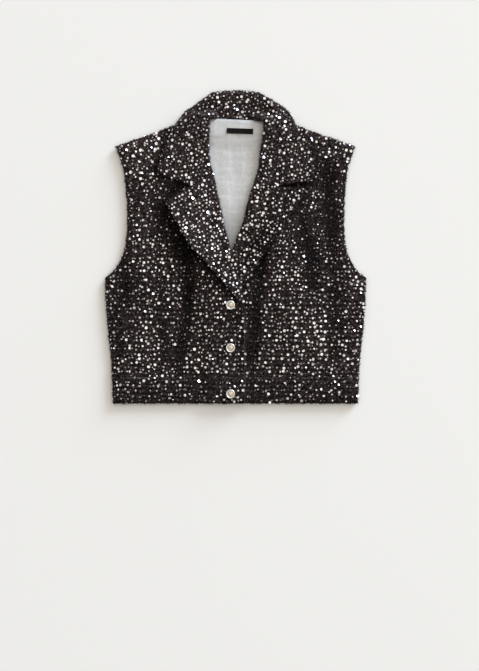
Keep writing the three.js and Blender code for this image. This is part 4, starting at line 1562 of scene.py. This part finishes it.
class GILET_OT_collar(bpy.types.Operator):
    """Builds the collar: its leaves, its stand, and the fall turned under behind the neck"""

    bl_idname = "gilet.collar"
    bl_label = "Collar"

    def execute(self, context):
        scene = context.scene
        cell, relief = scene.gilet_cloth.cell / MM, loose_relief(scene)
        edges = {"left": 5, "right": EDGE, "bottom": 2.4, "top": 2.4}
        sheet = wall(collar_sides(), cell, collar_heights, edges, relief=relief)
        sheet = [squared(grid) for grid in sheet]
        flat = lambda x, y, off, s: (0 * x, 0 * x + FALL_CLOTH)
        fall = wall(fall_sides(), FALL_CELL, flat, {"bottom": 2, "top": 2}, worn=0.8)
        standing = lambda x, y, off, s: (lining_top(x, y) + STAND_REST, lining_top(x, y) + STAND_TOP)
        stands = [wall(stand_sides(hand), STAND_CELL, standing, {}) for hand in (-1, 1)]
        piece = cloth_piece(scene, "collar", [sheet, fall, *stands])
        ends = rims(fall[0] + np.array([0, 0, 1.5]), ("left", "right", "top"))
        extras = dress(
            scene, "collar", sheet[0], seed=41, rows=False, degrees=12,
            rim=("left", "right", "bottom", "top"), trim=("right",), lines=ends,
        )
        return {"FINISHED"}


class GILET_OT_waistband(bpy.types.Operator):
    """Builds the three parts of the waistband"""

    bl_idname = "gilet.waistband"
    bl_label = "Waistband"

    def execute(self, context):
        scene = context.scene
        cell, weave = scene.gilet_cloth.cell / MM, loose_relief(scene, 1.0)
        edges = {"left": EDGE, "right": EDGE, "bottom": EDGE, "top": 1.6}
        left = band_sides(LEFT_EDGE_X, HALF_HEM, LEFT_EDGE_X, WAIST_CORNER[0])
        right = band_sides(-HALF_HEM, FRONT_EDGE_X, -WAIST_CORNER[0], FRONT_EDGE_X)
        back = band_sides(-HALF_HEM, HALF_HEM, -WAIST_CORNER[0], WAIST_CORNER[0])
        flat = lambda x, y, off, s: (0 * x, 0 * x + BAND_CLOTH)
        under = lambda x, y: np.minimum(0.7 * weave(x, y) - 0.15, 0)
        grid = wall(back, cell * 1.5, flat, edges, worn=0.2, under_relief=under)
        piece = cloth_piece(scene, "waistband_back", [grid], rows_tone)
        extras = dress(scene, "band_back", grid[1], seed=53, dim=0.4, loops=False, below=True, lean=0.25)
        plans = (
            ("left", left, front_base, 52, [outline_of(right)], "right"),
            ("right", right, right_base, 51, [], "left"),
        )
        for hand, sides, base, seed, covers, outer in plans:
            levels = lambda x, y, off, s: (base(x, y) + BAND_LIFT, base(x, y) + BAND_LIFT + BAND_CLOTH)
            grid = wall(sides, cell, levels, edges, worn=0.9, relief=weave)
            piece = cloth_piece(scene, f"waistband_{hand}", [grid], band_tone)
            extras = dress(
                scene, f"band_{hand}", grid[0], seed, covers, dim=0.25, lean=1.7,
                rim=("left", "right", "bottom"), trim=("bottom", outer),
            )
        return {"FINISHED"}


# The buttons' turned form
SHANK_RADIUS = 2.4
RIM_RADIUS = 6.6  # to the middle of the rim's bead
DOME_RADIUS = 4.7
DOME_END = 5.4  # where its metal meets the rim's
DOME_FOOT, DOME_RISE = 2.5, 1.95


class GILET_OT_buttons(bpy.types.Operator):
    """Builds the three buttons, each a polished rim round a satin dome on a shank, and the buttonholes"""

    bl_idname = "gilet.buttons"
    bl_label = "Buttons"

    def execute(self, context):
        scene = context.scene
        look = scene.gilet_buttons
        rim = brushed_finish("button_rim", look.rim, 0.34, 1.0, 0.1, 900)
        dome = brushed_finish("button_dome", look.dome, 0.36, 0.8, 0.25, 1600)
        around, over = np.linspace(0, math.pi, 9), np.linspace(0.05, math.pi / 2, 9)[:-1]
        bead = [(RIM_RADIUS + 1.05 * math.cos(a), 3.2 + 1.1 * math.sin(a)) for a in around]
        crown = [(DOME_RADIUS * math.cos(a), DOME_FOOT + DOME_RISE * math.sin(a)) for a in over]
        shank = [(0, 0), (SHANK_RADIUS, 0), (SHANK_RADIUS, 1.5), (6.4, 1.6), (7.3, 2.1)]
        points, faces = lathe([*shank, *bead, (5.2, 1.9), *crown, (0, DOME_FOOT + DOME_RISE)], 48)
        for k, y in enumerate(BUTTON_YS, 1):
            cloth = BAND_LIFT + BAND_CLOTH if y < WAIST_Y else CLOTH
            seat = float(right_base(np.array(float(BUTTON_X)), np.array(float(y)))) + cloth + SEAM
            mesh = new_mesh(f"button_{k}_metal", points + np.array([BUTTON_X, y, seat]), faces)
            mesh.materials.append(rim)
            mesh.materials.append(dome)
            centres = np.array([p.center[:] for p in mesh.polygons]) / MM
            off = np.hypot(centres[:, 0] - BUTTON_X, centres[:, 1] - y)
            inner = (off < DOME_END) & (centres[:, 2] > seat + 1.8)
            mesh.polygons.foreach_set("material_index", inner.astype(np.int32))
            new_piece(f"button_{k}_metal", mesh, None, [f"button_{k}"])
            level = lambda x, y: 0 * x + seat - 0.5
            for row, aside in enumerate((-0.8, 0.8), 1):
                line = [(BUTTON_X + along, y + aside) for along in np.linspace(-1.5, 11.5, 9)]
                sewn(scene, f"buttonhole_{k}_{row}", line, level, "black thread", pitch=1.6, height=0.25)
        return {"FINISHED"}


# The stage
SURFACE_SIDE = 6000
SURFACE_Z = -0.7  # a little down, so that few of the sequins under the back pass through it
AIM = (6.8, -150.5)  # the point under the camera
FRAME_HEIGHT = 1140.7  # what the picture's height takes in
CLOTH_MIDDLE = 8  # the level where that height is true
SENSOR = 36
# Painted light on the surface, paler towards the key light
SURFACE_PAINTED_LIGHT = (0.03, 0.03, 0)  # how much paler the surface gets towards the upper right, in a metre
BRIGHT_SIDE = (0.35, 0.35, 0.85)  # where the light all round is strongest


class GILET_OT_stage(bpy.types.Operator):
    """Sets the pale surface, the soft lights and the camera"""

    bl_idname = "gilet.stage"
    bl_label = "Stage"

    def execute(self, context):
        scene = context.scene
        studio = scene.gilet_studio
        half = SURFACE_SIDE / 2
        corners = [(x * half, y * half, SURFACE_Z) for x, y in ((-1, -1), (1, -1), (1, 1), (-1, 1))]
        mesh = new_mesh("surface", np.array(corners), np.array([(0, 1, 2, 3)]))
        paper, shader = new_finish("warm_paper", tuple(studio.surface), 0.85)
        fill(shader, {"Specular IOR Level": 0.1})
        # The surface's colour gets paler towards the upper right: painted light
        fall = add_node(paper, "ShaderNodeVectorMath", {"operation": "DOT_PRODUCT"}, {1: SURFACE_PAINTED_LIGHT})
        level = add_node(paper, "ShaderNodeMath", {"operation": "ADD"}, {1: 1.0})
        tint = add_node(paper, "ShaderNodeVectorMath", {"operation": "SCALE"}, {0: tuple(studio.surface)})
        wire(
            paper.node_tree,
            (add_node(paper, "ShaderNodeTexCoord"), "Object", fall, 0),
            (fall, "Value", level, 0),
            (level, "Value", tint, "Scale"),
            (tint, "Vector", shader, "Base Color"),
        )
        mesh.materials.append(paper)
        floor = placed("surface", mesh)
        lamp = bpy.data.lights.new("key", "SUN")
        lamp.angle, lamp.energy, lamp.color = studio.key_spread, studio.key, tuple(studio.key_colour)
        key = placed("key", lamp)
        up, turn = studio.key_elevation, studio.key_azimuth
        key.location = Vector((math.cos(up) * math.cos(turn), math.cos(up) * math.sin(turn), math.sin(up)))
        key.rotation_euler = (-key.location).to_track_quat("-Z", "Y").to_euler()
        world = bpy.data.worlds.new("studio")
        scene.world = world
        world.use_nodes = True
        ground = world.node_tree.nodes["Background"]
        fill(ground, {"Color": (*studio.fill_colour, 1)})
        bright = {1: Vector(BRIGHT_SIDE).normalized()}
        towards = add_node(world, "ShaderNodeVectorMath", {"operation": "DOT_PRODUCT"}, bright)
        limits = {"From Min": -0.1, "From Max": 0.95}
        limits.update({"To Min": studio.fill * 0.1, "To Max": studio.fill * 1.9})
        strength = add_node(world, "ShaderNodeMapRange", None, limits)
        wire(
            world.node_tree,
            (add_node(world, "ShaderNodeTexCoord"), "Generated", towards, 0),
            (towards, "Value", strength, "Value"),
            (strength, "Result", ground, "Strength"),
        )
        scene.view_settings.view_transform = "Standard"
        lens = bpy.data.cameras.new("camera")
        lens.sensor_width = SENSOR
        lens.lens = SENSOR * (studio.distance - CLOTH_MIDDLE * MM) / (FRAME_HEIGHT * MM)
        lens.clip_start, lens.clip_end = 0.05, 20
        camera = placed("camera", lens)
        camera.location = (AIM[0] * MM, AIM[1] * MM, studio.distance)
        scene.camera = camera
        return {"FINISHED"}


class GILET_PT_panel(bpy.types.Panel):
    """Lists the steps in their order, and the sizes and colours"""

    bl_idname = "GILET_PT_panel"
    bl_label = "Gilet"
    bl_space_type = "VIEW_3D"
    bl_region_type = "UI"
    bl_category = "Gilet"

    def draw(self, context):
        for operator in OPERATORS:
            self.layout.operator(operator.bl_idname)
        for name, group in GROUPS.items():
            box = self.layout.box()
            for key in group.__annotations__:
                box.prop(getattr(context.scene, name), key)


GROUPS = {
    "gilet_cloth": Cloth,
    "gilet_sequins": Sequins,
    "gilet_lining": LiningSizes,
    "gilet_buttons": ButtonLook,
    "gilet_studio": Studio,
}
OPERATORS = (
    GILET_OT_stage,
    GILET_OT_back,
    GILET_OT_lining,
    GILET_OT_fronts,
    GILET_OT_lapels,
    GILET_OT_collar,
    GILET_OT_waistband,
    GILET_OT_buttons,
)


def register():
    for kind in (*GROUPS.values(), *OPERATORS, GILET_PT_panel):
        bpy.utils.register_class(kind)
    for name, group in GROUPS.items():
        setattr(bpy.types.Scene, name, bpy.props.PointerProperty(type=group))


def unregister():
    for name in GROUPS:
        delattr(bpy.types.Scene, name)
    for kind in (GILET_PT_panel, *OPERATORS[::-1], *list(GROUPS.values())[::-1]):
        bpy.utils.unregister_class(kind)


def main():
    register()
    for operator in OPERATORS:
        group, step = operator.bl_idname.split(".")
        getattr(getattr(bpy.ops, group), step)()
    for name in ("sequin form", "under sequin form", "loop form", "stitch form"):
        bpy.data.objects.remove(made[name])


if __name__ == "__main__":
    main()
